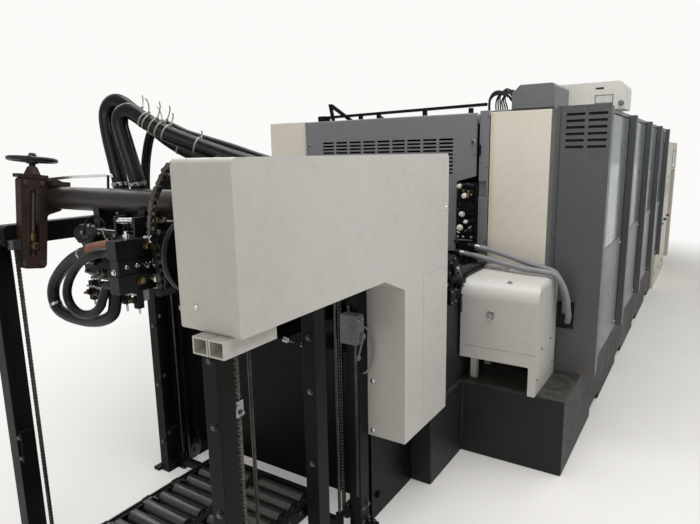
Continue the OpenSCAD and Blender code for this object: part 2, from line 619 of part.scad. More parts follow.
// Inking rollers over the plate cylinder, as [angle, distance from its axis, diameter]
rollers = [[35, plate_d / 2 + 33, 60], [72, plate_d / 2 + 33, 60], [108, plate_d / 2 + 33, 60], [145, plate_d / 2 + 33, 60],
    [53, plate_d / 2 + 106, 80], [127, plate_d / 2 + 106, 80], [90, plate_d / 2 + 130, 66]];
module ink_rollers() {
    color("#2a2b2d") for (k = [0:unit_count - 1]) translate([k * unit_pitch, 0, 0])
        for (q = rollers) {
            bar_y(plate_x + q.y * cos(q.x), plate_z + q.y * sin(q.x), q.z, -frame_in + 30, frame_in - 30);
            bar_y(plate_x + q.y * cos(q.x), plate_z + q.y * sin(q.x), 26, -frame_in, frame_in);
        }
}

// Covers of the towers between the frames, with the pin of the guard and its two ears
module tower_covers() {
    color("#c9c8c1") for (k = [0:unit_count - 1]) translate([k * unit_pitch, 0, 0]) {
        block([12, -frame_in, tower_top - 6], [tower_len + 12, frame_in, tower_top]);
        block([tower_len + 6, -frame_in, low_top - 6], [tower_len + 12, frame_in, tower_top - 6 - seam]);
        if (k > 0) block([12, -frame_in, low_top - 6], [18, frame_in, tower_top - 6 - seam]);
        block([tower_len + 12 + seam, -frame_in, low_top - 12], [unit_pitch - 2 + (k < unit_count - 1 ? 14 : 0), frame_in, low_top - 6]);
    }
    color("#4a4d50") {
        block([12, -frame_in, tower_top - 40], [26, frame_in, tower_top - 6 - seam]);
        both_sides() plate_xz(guard_half + 0.6, frame_in, [[guard_x, hinge_z + 6], [guard_x, hinge_z - 7],
            [12, tower_top - 38], [12, tower_top - 2]]);
        bar_y(hinge_x, hinge_z, hinge_pin_d, -frame_in + 1, frame_in - 1);
    }
}

// Case along the operator's side: a top, a shelf, a bottom and a wall at each pillar, open behind the doors,
// with the fixed panels below the doors. The plates meet with a hairline seam
seam = 0.3;
case_top_t = 20;
case_x0 = 12;
shelf_z = door_bottom - clear - 16;
hinge_y = -door_y + door_t / 2;
door_pin_d = 12;
door_z0 = door_bottom;
door_z1 = cover_top - case_top_t - clear;
function door_x(k) = (k == 0 ? 12 : k * unit_pitch) + pillar_len - (k == 0 ? 12 : 0) + door_gap + door_t / 2;
module operator_cases() {
    wall_y = -side_y + pillar_len;
    color("#bdbcb5") {
        block([case_x0, -door_y, cover_top - case_top_t], [units_len, -frame_out, cover_top]);
        block([case_x0, -door_y, shelf_z], [units_len, -frame_out, shelf_z + 16]);
        block([case_x0, -door_y, bed_h], [units_len, -frame_out, panel_z]);
        for (k = [0:unit_count]) {
            x = min(k * unit_pitch + 12, units_len - 12);
            for (z = [[panel_z, shelf_z], [shelf_z + 16, cover_top - case_top_t]])
                block([x, wall_y, z.x + seam], [x + 12, -frame_out, z.y - seam]);
        }
    }
    color("#8d9092") for (k = [0:unit_count - 1]) {
        translate([door_x(k), hinge_y, shelf_z + 16 + seam]) cylinder(d = door_pin_d, h = 24);
        translate([door_x(k), hinge_y, cover_top - case_top_t - 24]) cylinder(d = door_pin_d, h = 24 - seam);
    }
    color("#a9aca9") for (k = [0:unit_count - 1])
        block([door_x(k) - door_t / 2, -door_y, panel_z + seam], [(k + 1) * unit_pitch - door_gap, -door_y + 14, shelf_z - seam]);
}

// Pillars that stand out between the doors
module side_pillars() {
    color("#545456") for (k = [0:unit_count]) {
        x = k == 0 ? 12 : k * unit_pitch;
        w = k == 0 ? pillar_len - 12 : pillar_len;
        block([x, -side_y, panel_z - 4], [x + w, -door_y, cover_top - 4]);
    }
    color("#545456") for (k = [0:unit_count - 1]) {
        x = k == 0 ? 12 : k * unit_pitch;
        block([x + 14, -door_y, door_bottom - clear + 30], [x + 40, -side_y + pillar_len - seam, cover_top - case_top_t - 30]);
    }
}

// Door over the side of a unit, with its hinge edge rounded about the pins
module side_door(k) {
    x0 = door_x(k);
    x1 = (k + 1) * unit_pitch - door_gap;
    color("#c3c9c9") difference() {
        union() {
            block([x0, -door_y, door_z0], [x1, -door_y + door_t, door_z1]);
            translate([x0, hinge_y, door_z0]) cylinder(d = door_t, h = door_z1 - door_z0);
        }
        for (z = [door_z0 - eps, door_z1 - 20]) translate([x0, hinge_y, z]) cylinder(d = door_pin_d + 2 * run, h = 21);
        block([x0 + 20, -door_y - eps, 1249], [x1 + eps, -door_y + 0.8, 1251]);
    }
}
module side_door_1() { side_door(0); }
module side_door_2() { side_door(1); }
module side_door_3() { side_door(2); }
module side_door_4() { side_door(3); }

// End panel with two columns of louvres and a notch for the conduits
louvre_rows = 6;
louvre_pitch = 28.6;
louvre_len = 78;
louvre_z0 = cover_top - 186;
recess_y = -louvre_in - 122;
module louvred_panel() {
    color("#545456") difference() {
        block([0, -side_y, panel_z - 10], [12, -louvre_in, cover_top + 2]);
        for (c = [0, 1], i = [0:louvre_rows - 1])
            block([-eps, -side_y + 15 + c * 93, louvre_z0 + i * louvre_pitch],
                [13, -side_y + 15 + c * 93 + louvre_len, louvre_z0 + 12 + i * louvre_pitch]);
        block([-eps, -louvre_in - 22, panel_z], [5, -louvre_in - 15, cover_top + 3]);
        block([-eps, recess_y, bed_h + 221], [13, -louvre_in + eps, bed_h + 354]);
    }
}

// Cream panels: the face panel beside the guard, the strip at its drive end and the gear covers
module cream_panels() {
    color("#d2cdc0") block([0, -face_out, panel_z], [12, -face_in, cover_top - 8]);
    color("#cfcec6") for (k = [0:unit_count - 1])
        block([k == 0 ? 0 : k * unit_pitch + 2, frame_out, panel_z],
            [(k + 1) * unit_pitch - 2, frame_out + drive_cover_w - 52, cover_top - 3]);
    color("#cfcec6") block([0, frame_in + 2, guard_bottom + 95], [12, frame_out, cover_top - 3]);
}

// Rail over the guard on feet, with the block and the triangular stay at its drive end
rail_half = 440;
module top_rail() {
    color("#1b1c1d") {
        plate_yz(24, 46, [[rail_half, cover_top + 8], [rail_half, cover_top + 22],
            [-frame_in - 24, cover_top + 40], [-frame_in - 24, cover_top + 26]]);
        for (y = [-480, -230, 45, 160]) block([28, y, tower_top], [42, y + 22, cover_top + 20]);
        plate_yz(28, 42, [[45, tower_top], [0, tower_top], [45, tower_top + 26]]);
        block([16, rail_half - 40, tower_top], [70, rail_half + 10, cover_top + 24]);
        difference() {
            plate_yz(56, 68, [[rail_half - 60, tower_top], [rail_half - 36, cover_top + 92], [rail_half - 60, cover_top + 92],
                [rail_half - 220, tower_top]]);
            plate_yz(54, 70, [[rail_half - 78, tower_top - eps], [rail_half - 62, cover_top + 66],
                [rail_half - 190, tower_top - eps]]);
        }
    }
}

module grey_top_box() {
    color("#77797c") plate_yz(0, 300, rounded([[-873, cover_top, 0], [-680, cover_top, 0], [-680, 1668, 0],
        [-716, 1706, 4], [-873, 1706, 16]]));
}

module cream_top_box() {
    color("#d6d4ca") plate_yz(393, 600, rounded([[-side_y, cover_top, 0], [-790, cover_top, 0], [-790, cover_top + 137, 6],
        [-side_y, cover_top + 137, 40]], 6));
}

// Delivery: closed side housings and a hood over an open pile bay
hood_z = cover_top - 448;
hood_top = cover_top - 118;
module delivery_covers() {
    x0 = delivery_x;
    x1 = delivery_end - bay_len;
    color("#d0cfc7") {
        block([x0, -door_y, 0], [x1, frame_out + drive_cover_w - 60, hood_z]);
        plate_xz(-door_y, frame_out + drive_cover_w - 60, rounded([[x0, hood_z, 0], [delivery_end, hood_z, 0],
            [delivery_end, hood_top - 80, 90], [delivery_end - 120, hood_top, 60], [x0, hood_top, 0]]));
        for (y = [-door_y, frame_out + drive_cover_w - 100])
            block([delivery_end - 150, y, 0], [delivery_end - 20, y + 40, hood_z]);
    }
}
module delivery_board() {
    color("#8a6a45") block([delivery_end - bay_len + 40, -420, 130], [delivery_end - 40, 420, 160]);
    color("#232526") for (x = [delivery_end - bay_len, delivery_end - 90])
        block([x, -door_y + 40, 90], [x + 60, frame_out + drive_cover_w - 100, 130]);
}

// Flexible tube swept along points that lie near one plane across X
tube_sides = 10;
function along(p, i) = unit_vec(p[min(i + 1, len(p) - 1)] - p[max(i - 1, 0)]);
function ring(c, t, r) = let(u = unit_vec(cross(t, [1, 0, 0])), v = cross(t, u))
    [for (k = [0:tube_sides - 1]) c + r * (cos(k * 360 / tube_sides) * u + sin(k * 360 / tube_sides) * v)];
module flexible_tube(p, d) {
    n = tube_sides;
    last = (len(p) - 1) * n;
    polyhedron(points = [for (i = [0:len(p) - 1]) each ring(p[i], along(p, i), d / 2)],
        faces = concat([[for (k = [n - 1:-1:0]) k]],
            [for (i = [0:len(p) - 2], k = [0:n - 1]) let(a = i * n, m = (k + 1) % n) [a + k, a + m, a + n + m]],
            [for (i = [0:len(p) - 2], k = [0:n - 1]) let(a = i * n, m = (k + 1) % n) [a + k, a + n + m, a + n + k]],
            [[for (k = [0:n - 1]) last + k]]));
}

// Air hoses from the head up in an arch and over to the junction box behind the cover
hose_rear = [[-1540, 130, 1190.3], [-1540, 130, 1230], [-1539, 140, 1290], [-1538, 150, 1340], [-1535, 168, 1400],
    [-1532, 188, 1465], [-1526, 204, 1530], [-1521, 198, 1566], [-1516, 172, 1586], [-1510, 140, 1580],
    [-1502, 108, 1558], [-1488, 70, 1528], [-1470, 28, 1492], [-1450, -18, 1454], [-1424, -75, 1418], [-1396, -160, 1384],
    [-1366, -260, 1348], [-1348, -360, 1326], [-1338, -425, 1318], [-1338, -457.7, 1318]];
hose_front = [[-1540, 40, 1190.3], [-1540, 40, 1230], [-1542, 44, 1290], [-1548, 50, 1345], [-1552, 66, 1405],
    [-1556, 80, 1460], [-1558, 92, 1510], [-1556, 82, 1540], [-1548, 48, 1546], [-1534, -6, 1514], [-1510, -74, 1474],
    [-1480, -136, 1446], [-1446, -200, 1418], [-1416, -280, 1390], [-1400, -360, 1370], [-1395, -425, 1362],
    [-1395, -457.7, 1362]];
hose_branch = [[-1490, 86, 1190.3], [-1490, 86, 1230], [-1486, 88, 1300], [-1474, 96, 1360], [-1456, 104, 1420],
    [-1436, 102, 1480], [-1422, 78, 1512], [-1408, 40, 1506], [-1390, -22, 1478], [-1370, -100, 1454], [-1346, -185, 1428],
    [-1322, -280, 1396], [-1312, -360, 1376], [-1312, -425, 1370], [-1312, -457.7, 1370]];
branch_d = 30;
module air_hose_rear() { color("#1a1b1c") flexible_tube(hose_rear, hose_d); }
module air_hose_front() { color("#1a1b1c") flexible_tube(hose_front, hose_d); }
module air_hose_branch() { color("#1a1b1c") flexible_tube(hose_branch, branch_d); }

// Hoses that hang in loops at the tail of the head, from its upper port block down to its lower one
loop_d = 36;
loop_x = tube_x - 138;
loop_port_y = -118;
loop_ports = [head_z1 - 36, head_z0 + 46];
loop_outer = [[loop_x, -117.7, 1154], [loop_x, -92, 1154], [loop_x, -50, 1152], [loop_x, 0, 1143], [loop_x, 54, 1128],
    [loop_x, 122, 1102], [loop_x, 190, 1060], [loop_x, 240, 1012], [loop_x, 254, 968], [loop_x, 236, 932],
    [loop_x, 190, 916], [loop_x, 130, 911], [loop_x, 60, 914], [loop_x, -6, 928], [loop_x, -54, 954],
    [loop_x, -70, 992], [loop_x, -77, 1030], [loop_x, -94, 1056], [loop_x, -117.7, 1056]];
loop_inner = [[loop_x - 30, -117.7, 1144], [loop_x - 30, -96, 1144], [loop_x - 40, -60, 1138], [loop_x - 44, -14, 1122],
    [loop_x - 44, 34, 1094], [loop_x - 44, 80, 1048], [loop_x - 44, 98, 1004], [loop_x - 42, 84, 968],
    [loop_x - 40, 44, 950], [loop_x - 36, -6, 956], [loop_x - 33, -44, 980], [loop_x - 31, -62, 1012],
    [loop_x - 30, -86, 1048], [loop_x - 30, -117.7, 1048]];
module head_hose_outer() { color("#1a1b1c") flexible_tube(loop_outer, loop_d); }
module head_hose_inner() { color("#1a1b1c") flexible_tube(loop_inner, loop_d - 10); }

// Corrugated conduits from the register gear over the cabinet's rear corner into the notch of the end panel
conduit_d = 28;
route_top = [[-52, -540.3, 939], [-52, -562, 939], [-60, -600, 935], [-70, -656, 927], [-82, -720, 913],
    [-90, -781, 897], [-94, -838, 883], [-92, -893, 870], [-84, -938, 850], [-70, -964, 792], [-56, -976, 740],
    [-40, -978, 694], [-18, -972, 662], [6.3, -967, 652]];
route_bottom = [[-52, -461.7, 903], [-52, -484, 903], [-58, -515, 901], [-70, -565, 896], [-92, -664, 883],
    [-120, -787, 867], [-132, -883, 863], [-124, -944, 851], [-108, -976, 802], [-92, -992, 745], [-74, -996, 690],
    [-50, -996, 645], [-22, -988, 616], [6.3, -983, 606]];
module conduit_upper() { color("#7d7d82") flexible_tube(route_top, conduit_d); }
module conduit_lower() { color("#7d7d82") flexible_tube(route_bottom, conduit_d); }

base_bed();
feeder_frames();
feeder_posts();
feeder_cross_beams();
head_tube();
tube_bracket();
feeder_cover();
suction_head();
sucker_feet();
hoist_sprockets();
hoist_chains();
guide_rods();
pile_switch();
pile_table();
table_rollers();
handwheel();
feed_board();
damper_drive();
damper_knobs();
infeed_guard();
floor_cabinet();
unit_frames();
print_cylinders();
ink_rollers();
tower_covers();
operator_cases();
side_pillars();
side_door_1();
side_door_2();
side_door_3();
side_door_4();
louvred_panel();
cream_panels();
top_rail();
grey_top_box();
cream_top_box();
delivery_covers();
delivery_board();
air_hose_rear();
air_hose_front();
air_hose_branch();
head_hose_outer();
head_hose_inner();
conduit_upper();
conduit_lower();
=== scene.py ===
"""Looks of a sheetfed offset press: finishes, chains, screws, hoses and small fittings."""

import logging
import math
from dataclasses import dataclass
from enum import Enum

import bmesh
import bpy
from bpy.types import ID, Material, Mesh, Node, NodeSocket, NodeTree, Object
from mathutils import Matrix, Vector


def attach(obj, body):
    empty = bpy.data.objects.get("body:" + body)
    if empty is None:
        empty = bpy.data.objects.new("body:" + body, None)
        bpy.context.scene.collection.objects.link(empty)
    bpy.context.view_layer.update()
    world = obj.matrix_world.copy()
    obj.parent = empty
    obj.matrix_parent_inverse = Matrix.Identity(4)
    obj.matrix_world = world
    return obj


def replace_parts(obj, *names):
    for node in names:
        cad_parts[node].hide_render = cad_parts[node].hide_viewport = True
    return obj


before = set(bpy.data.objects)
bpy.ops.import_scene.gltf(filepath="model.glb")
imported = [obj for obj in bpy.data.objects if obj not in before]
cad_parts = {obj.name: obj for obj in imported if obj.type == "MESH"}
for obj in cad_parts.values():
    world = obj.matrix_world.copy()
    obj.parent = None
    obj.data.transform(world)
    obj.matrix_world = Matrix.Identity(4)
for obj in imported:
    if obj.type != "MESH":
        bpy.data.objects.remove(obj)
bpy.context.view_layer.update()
LOG = logging.getLogger("press")
Point = tuple[float, float, float]
# All routes and places below are in millimetres, as in the part's source
MM = 0.001
# Towards the operator side, the drive side, the feeder's tail, the delivery, up and down
NEAR, FAR, TAIL, FORE = (0, -1, 0), (0, 1, 0), (-1, 0, 0), (1, 0, 0)
UP, DOWN = (0, 0, 1), (0, 0, -1)


def linear(hex_colour: str) -> tuple[float, float, float, float]:
    """Turns an sRGB hex colour into Blender's linear colour.

    Args:
        hex_colour: a colour such as "#d9d8d0".

    Returns:
        Red, green, blue and alpha, linear.
    """
    parts = [int(hex_colour[i : i + 2], 16) / 255 for i in (1, 3, 5)]
    return (*[c / 12.92 if c <= 0.04045 else ((c + 0.055) / 1.055) ** 2.4 for c in parts], 1.0)


def node(
    tree: NodeTree, kind: str, settings: dict | None = None, links: dict | None = None, **values: object
) -> Node:
    """Adds one node with its settings, input values and links.

    Args:
        tree: the node tree that gets the node.
        kind: Blender's name of the node type.
        settings: attributes of the node itself.
        links: input name or index to the output socket that feeds it.
        values: input name, with _ for a space, to its value.

    Returns:
        The new node.
    """
    made = tree.nodes.new(kind)
    for key, value in (settings or {}).items():
        setattr(made, key, value)
    for key, value in values.items():
        made.inputs[key.replace("_", " ")].default_value = value
    for key, socket in (links or {}).items():
        tree.links.new(socket, made.inputs[key])
    return made


def noise(
    tree: NodeTree, place: NodeSocket, scale: float, detail: float, rough: float, warp: float = 0.0
) -> NodeSocket:
    """Adds a noise that reads a place.

    Args:
        tree: the node tree.
        place: the coordinates.
        scale: cells per unit of them.
        detail: its octaves.
        rough: the weight of the finer octaves.
        warp: how far it is bent by itself.

    Returns:
        The socket of its value.
    """
    links = {"Vector": place}
    made = node(
        tree, "ShaderNodeTexNoise", None, links, Scale=scale, Detail=detail, Roughness=rough, Distortion=warp
    )
    return made.outputs[0]


def ramp(
    tree: NodeTree, value: NodeSocket, start: float, end: float, last: float = 1.0, first: float = 0.0
) -> NodeSocket:
    """Maps one span of a value onto another, held at both ends.

    Args:
        tree: the node tree.
        value: the value's socket.
        start: where the span starts.
        end: where it ends.
        last: the result at the end.
        first: the result at the start.

    Returns:
        The result's socket.
    """
    span = {"From_Min": start, "From_Max": end, "To_Min": first, "To_Max": last}
    return node(tree, "ShaderNodeMapRange", links={"Value": value}, **span).outputs[0]


def maths(tree: NodeTree, operation: str, *values: NodeSocket | float) -> NodeSocket:
    """Adds one sum.

    Args:
        tree: the node tree.
        operation: Blender's name of the operation.
        values: its inputs, each a socket or a number.

    Returns:
        The result's socket.
    """
    made = node(tree, "ShaderNodeMath", {"operation": operation})
    for entry, value in zip(made.inputs, values):
        if isinstance(value, NodeSocket):
            tree.links.new(value, entry)
        else:
            entry.default_value = value
    return made.outputs[0]


def placed(name: str, data: ID) -> Object:
    """Puts a mesh, a curve, a camera or a lamp into the scene.

    Args:
        name: the object's name.
        data: what it shows.

    Returns:
        The new object.
    """
    made = bpy.data.objects.new(name, data)
    bpy.context.collection.objects.link(made)
    return made


class Grain(Enum):
    """How a surface was made, which sets its fine relief."""

    SPRAYED = "sprayed"
    BRUSHED = "brushed"
    CAST = "cast"
    MOULDED = "moulded"
    SAWN = "sawn"


@dataclass(frozen=True)
class StainAndShade:
    """A colour that fades along one axis, from where it is full to where it ends, in metres. Most are real
    marks; on the side doors it is partly painted shade.

    It stays on the operator side of limit_y.
    """

    colour: str
    axis: int
    full: float
    ends: float
    strength: float
    limit_y: float = 9.0


@dataclass(frozen=True)
class Finish:
    """One finish: what it is, its colours, how its surface was made and how it has aged, and on a few, painted
    shade.
    """

    name: str
    colour: str
    worn: str
    roughness: float
    slot: str
    metallic: float = 0.0
    grain: Grain = Grain.SPRAYED
    grime: float = 0.25
    relief: float = 0.08
    coat: float = 0.0
    streaks: float = 0.15
    scuffs: float = 0.0
    dust: float = 0.0
    mirror: float = 0.5
    stains_and_shade: tuple[StainAndShade, ...] = ()

    def material(self) -> Material:
        """Returns the finish's material, made on first use."""
        return bpy.data.materials.get(self.name) or self.build()

    def build(self) -> Material:
        """Makes the procedural material.

        Returns:
            A material whose colour, roughness and relief read Object coordinates.
        """
        made = bpy.data.materials.new(self.name)
        made.use_nodes = True
        tree = made.node_tree
        shader = tree.nodes["Principled BSDF"]
        shader.inputs["Metallic"].default_value = self.metallic
        shader.inputs["Coat Weight"].default_value = self.coat
        shader.inputs["Coat Roughness"].default_value = 0.06
        shader.inputs["Specular IOR Level"].default_value = self.mirror
        reads = node(tree, "ShaderNodeTexCoord")
        place = reads.outputs["Object"]
        # Clouds are about 400 mm across, blotches 40 mm, and runs 110 mm wide and 900 mm tall
        cloud = noise(tree, place, 2.6, 5.0, 0.62)
        blotch = noise(tree, place, 25.0, 5.0, 0.65)
        runs_place = node(tree, "ShaderNodeMapping", links={"Vector": place}, Scale=(9.0, 9.0, 1.1))
        runs = noise(tree, runs_place.outputs[0], 1.0, 6.0, 0.7)
        soiled = maths(tree, "MULTIPLY", cloud, blotch)
        layers = [
            (self.worn, ramp(tree, soiled, 0.18, 0.36, self.grime)),
            (self.worn, ramp(tree, runs, 0.5, 0.8, self.streaks)),
        ]
        if self.scuffs:
            # Rub marks are the contour lines of a warped noise, 2 mm wide, and show only in patches
            warped = noise(tree, place, 7.0, 3.0, 0.5, 1.6)
            off = maths(tree, "ABSOLUTE", maths(tree, "SUBTRACT", warped, 0.5))
            line = ramp(tree, off, 0.0, 0.006, 0.0, 1.0)
            patch = ramp(tree, blotch, 0.52, 0.66, self.scuffs)
            layers.append((self.worn, maths(tree, "MULTIPLY", line, patch)))
        # Each fade along one axis is a real mark, except on the side doors, where it is partly painted shade
        for stain_and_shade in self.stains_and_shade:
            axes = node(tree, "ShaderNodeSeparateXYZ", links={0: place}).outputs
            fade = ramp(tree, axes[stain_and_shade.axis], stain_and_shade.ends, stain_and_shade.full, stain_and_shade.strength)
            patchy = maths(tree, "MULTIPLY", fade, ramp(tree, cloud, 0.35, 0.6, 1.0, 0.35))
            within = ramp(tree, axes[1], stain_and_shade.limit_y, stain_and_shade.limit_y + 0.01, 0.0, 1.0)
            layers.append((stain_and_shade.colour, maths(tree, "MULTIPLY", patchy, within)))
        if self.dust:
            # Spray powder and paper dust settle on what faces up
            way = node(tree, "ShaderNodeSeparateXYZ", links={0: reads.outputs["Normal"]})
            flat = ramp(tree, way.outputs[2], 0.45, 0.95, self.dust)
            thick = ramp(tree, blotch, 0.35, 0.6, 1.0, 0.3)
            layers.append(("#6b675f", maths(tree, "MULTIPLY", flat, thick)))
        below: NodeSocket | None = None
        for shade, amount in layers:
            tint = node(
                tree, "ShaderNodeMix", {"data_type": "RGBA"},
                {0: amount} if below is None else {0: amount, 6: below},
            )
            if below is None:
                tint.inputs[6].default_value = linear(self.colour)
            tint.inputs[7].default_value = linear(shade)
            below = tint.outputs[2]
        tree.links.new(below, shader.inputs["Base Color"])
        sleek, dull = max(0.03, self.roughness - 0.05), min(1.0, self.roughness + 0.12)
        tree.links.new(ramp(tree, soiled, 0.15, 0.38, dull, sleek), shader.inputs["Roughness"])
        height = {"Height": self.relief_height(tree, place)}
        bump = node(tree, "ShaderNodeBump", links=height, Strength=self.relief, Distance=0.001)
        tree.links.new(bump.outputs[0], shader.inputs["Normal"])
        return made

    def relief_height(self, tree: NodeTree, place: NodeSocket) -> NodeSocket:
        """Adds the fine relief that the surface's making leaves.

        Args:
            tree: the material's node tree.
            place: the Object coordinates.

        Returns:
            The socket that carries the height.
        """
        # Orange peel of sprayed enamel is 2 mm across, foundry sand 4 mm, moulded skin 1 mm, drawn lines 0.6 mm
        scale = {Grain.SPRAYED: 420.0, Grain.CAST: 240.0, Grain.MOULDED: 900.0}.get(self.grain)
        if scale:
            return noise(tree, place, scale, 3.0, 0.55)
        stretch = (12.0, 1600.0, 1600.0) if self.grain is Grain.BRUSHED else (8.0, 160.0, 160.0)
        drawn = node(tree, "ShaderNodeMapping", links={"Vector": place}, Scale=stretch)
        return noise(tree, drawn.outputs[0], 1.0, 4.0, 0.6)


# Baked cream enamel on sheet steel: smooth, faintly grey, with rub marks
CREAM = Finish(
    "cream_enamel", "#c2c1bc", "#9f9c94", 0.40, "cream_sheet", grime=0.16, streaks=0.05, scuffs=0.5, dust=0.08
)
# The same enamel yellowed on the face panels, brown where oil has run along its edge and behind the cabinet
YELLOWED = Finish(
    "yellowed_enamel", "#d6d1c5", "#b9ae97", 0.42, "cream_panel", grime=0.16, streaks=0.10, scuffs=0.3,
    stains_and_shade=(StainAndShade("#b98d52", 1, -0.583, -0.612, 0.55, -0.5), StainAndShade("#7f6a50", 2, 0.860, 0.975, 0.55, -0.5)),
)
# Enamel of the drive side and the delivery, evenly cream
PANEL_CREAM = Finish(
    "plain_cream_enamel", "#c4c0b4", "#a49d8c", 0.42, "cream_panel", grime=0.2, streaks=0.08, scuffs=0.3,
    dust=0.1,
)
# Satin grey powder coat of the guard
GUARD_GREY = Finish(
    "guard_powder_coat", "#717276", "#5b5b5f", 0.46, "guard_grey", grime=0.25, streaks=0.1, scuffs=0.4
)
# Dark grey enamel of the pillars and the louvred panel
PILLAR_GREY = Finish(
    "pillar_enamel", "#48484b", "#3b3b3e", 0.38, "pillar_grey", grime=0.25, streaks=0.12, scuffs=0.35,
    stains_and_shade=(StainAndShade("#6b665e", 2, 0.36, 0.62, 0.4),),
)
# High-gloss enamel of the side doors, which mirrors the room at a low angle. It is painted darker towards the
# bottom: partly a film of dust, partly painted shade in place of the dimmer reflection low on the doors
DOOR_GLOSS = Finish(
    "door_gloss_enamel", "#6c777b", "#5c6567", 0.10, "door_gloss", grime=0.1, relief=0.004, coat=0.0,
    mirror=0.22, streaks=0.1, stains_and_shade=(StainAndShade("#54524e", 2, 1.0, 1.35, 0.55),),
)
# The same enamel under splashes and dust, low on the sides
LOW_PANEL = Finish(
    "dusty_gloss_enamel", "#6f7576", "#5d5b56", 0.32, "case_grey", grime=0.35, relief=0.004, mirror=0.16,
    streaks=0.25,
)
# Black machine enamel under a film of oil and powder
BLACK = Finish(
    "black_machine_enamel", "#0e0f11", "#1b1815", 0.36, "black_frame", grime=0.35, streaks=0.25, scuffs=0.5,
    dust=0.08, mirror=0.1,
)
# Dark grey casting paint of the bed, with oil and dirt
BED_GREY = Finish(
    "bed_enamel", "#1c1e21", "#2b2823", 0.5, "base_bed", grain=Grain.CAST, grime=0.5, relief=0.25, dust=0.35,
    mirror=0.25,
)
# Unit frames: grey enamel on castings
FRAME_GREY = Finish(
    "frame_enamel", "#2b2d30", "#222326", 0.46, "frame_grey", grain=Grain.CAST, grime=0.4, relief=0.2,
    dust=0.15, mirror=0.3,
)
# Bare casting that has rusted to a dark brown
RUST = Finish(
    "rusted_casting", "#371f17", "#17100d", 0.62, "rust_bracket", metallic=0.2, grain=Grain.CAST, grime=0.95,
    relief=0.6, streaks=0.5,
)
# Painted steel tube, dulled by powder and oil
TUBE = Finish(
    "dulled_tube_paint", "#29282a", "#3f362e", 0.34, "head_tube", metallic=0.4, grime=0.6, streaks=0.3,
    scuffs=0.5, dust=0.15,
)
# Black enamel on the head's castings
HEAD = Finish(
    "head_enamel", "#101113", "#201c18", 0.34, "head_casting", grain=Grain.CAST, grime=0.45, relief=0.3,
    dust=0.12, mirror=0.25,
)
# Ground and turned steel
STEEL = Finish(
    "ground_steel", "#9c9ea0", "#6f6b65", 0.26, "bright_steel", metallic=1.0, grain=Grain.BRUSHED, grime=0.4
)
# Turned steel that has gone dull
DULL_STEEL = Finish(
    "dull_turned_steel", "#5d5f61", "#40392f", 0.4, "machined_steel", metallic=0.9, grain=Grain.BRUSHED,
    grime=0.7,
)
# Guide rods: steel under dark oil
OILED_ROD = Finish(
    "oiled_rod_steel", "#4a4844", "#262019", 0.3, "machined_steel", metallic=0.9, grain=Grain.BRUSHED,
    grime=0.7, streaks=0.5,
)
# Rollers of the table: dark oxidised steel
ROLLER = Finish(
    "oxidised_roller_steel", "#505355", "#5a544c", 0.3, "roller_steel", metallic=0.7, grain=Grain.BRUSHED,
    grime=0.7,
)
# Chain steel in old oil
CHAIN = Finish("oiled_chain_steel", "#5f5b56", "#2b2722", 0.3, "chain_steel", metallic=0.9, grime=0.7)
# Chromed and nickelled fittings
CHROME = Finish(
    "bright_chrome", "#d2d3d4", "#a9a7a2", 0.14, "bright_steel", metallic=1.0, grime=0.4, relief=0.02
)
# Brass air fittings
BRASS = Finish("dull_brass", "#8f7c57", "#54462e", 0.32, "bright_steel", metallic=1.0, grime=0.6)
# Black moulded plastic
PLASTIC = Finish(
    "black_moulded_plastic", "#121315", "#1e1e20", 0.36, "black_plastic", grain=Grain.MOULDED, grime=0.4,
    dust=0.1, mirror=0.3,
)
# Painted shade: matt black put inside slots, recesses and openings, where they are shaded
SHADE_BLACK = Finish("matt_black_lining", "#0b0c0d", "#161514", 0.8, "black_plastic", grime=0.4)
# White moulded knobs, a little soiled by ink
WHITE_KNOB = Finish(
    "white_moulded_plastic", "#d9d6cc", "#8f8574", 0.34, "white_knobs", grain=Grain.MOULDED, grime=0.35
)
# Clear window plastic gone milky
PANE = Finish("milky_window_plastic", "#a7a9a8", "#8b8c8a", 0.2, "tower_grey", grime=0.3, coat=0.4)
# Brushed sheet steel of the feed board
BOARD = Finish(
    "feed_board_steel", "#94969a", "#7a7670", 0.3, "board_steel", metallic=1.0, grain=Grain.BRUSHED, grime=0.4
)
# Woven cotton transport tapes
WEB = Finish(
    "woven_transport_tape", "#b8ae93", "#7d735b", 0.8, "cream_panel", grain=Grain.SAWN, grime=0.6, relief=0.3
)
# Ground cylinders
CYLINDER = Finish(
    "ground_cylinder_steel", "#9ea2a5", "#6f7377", 0.22, "cylinder_steel", metallic=1.0, grain=Grain.BRUSHED,
    grime=0.3,
)
# Inking rubber
RUBBER = Finish("inking_rubber", "#1d1e20", "#2e2d2b", 0.4, "roller_rubber", grain=Grain.MOULDED, grime=0.4)
# Light grey enamel of the towers
TOWER = Finish("tower_enamel", "#b4b3ac", "#948f85", 0.42, "tower_grey", grime=0.3, streaks=0.08, dust=0.15)
# Mid grey enamel of the small box on top
BOX_GREY = Finish("box_enamel", "#626468", "#535457", 0.4, "box_grey", grime=0.3, scuffs=0.3)
# Grey hammered paint of the limit switch
SWITCH = Finish(
    "switch_paint", "#6d7073", "#4c4b48", 0.4, "switch_grey", grain=Grain.CAST, relief=0.3, grime=0.6
)
# Softwood boards of the delivery pallet
WOOD = Finish(
    "softwood_boards", "#8a6a45", "#6d5136", 0.7, "pile_wood", grain=Grain.SAWN, grime=0.8, relief=0.4
)
# Black rubber air hose with a dusty bloom
HOSE = Finish(
    "black_hose_rubber", "#0c0d0f", "#18191c", 0.27, "hose_rubber", grain=Grain.MOULDED, grime=0.4, dust=0.05,
    mirror=0.22,
)
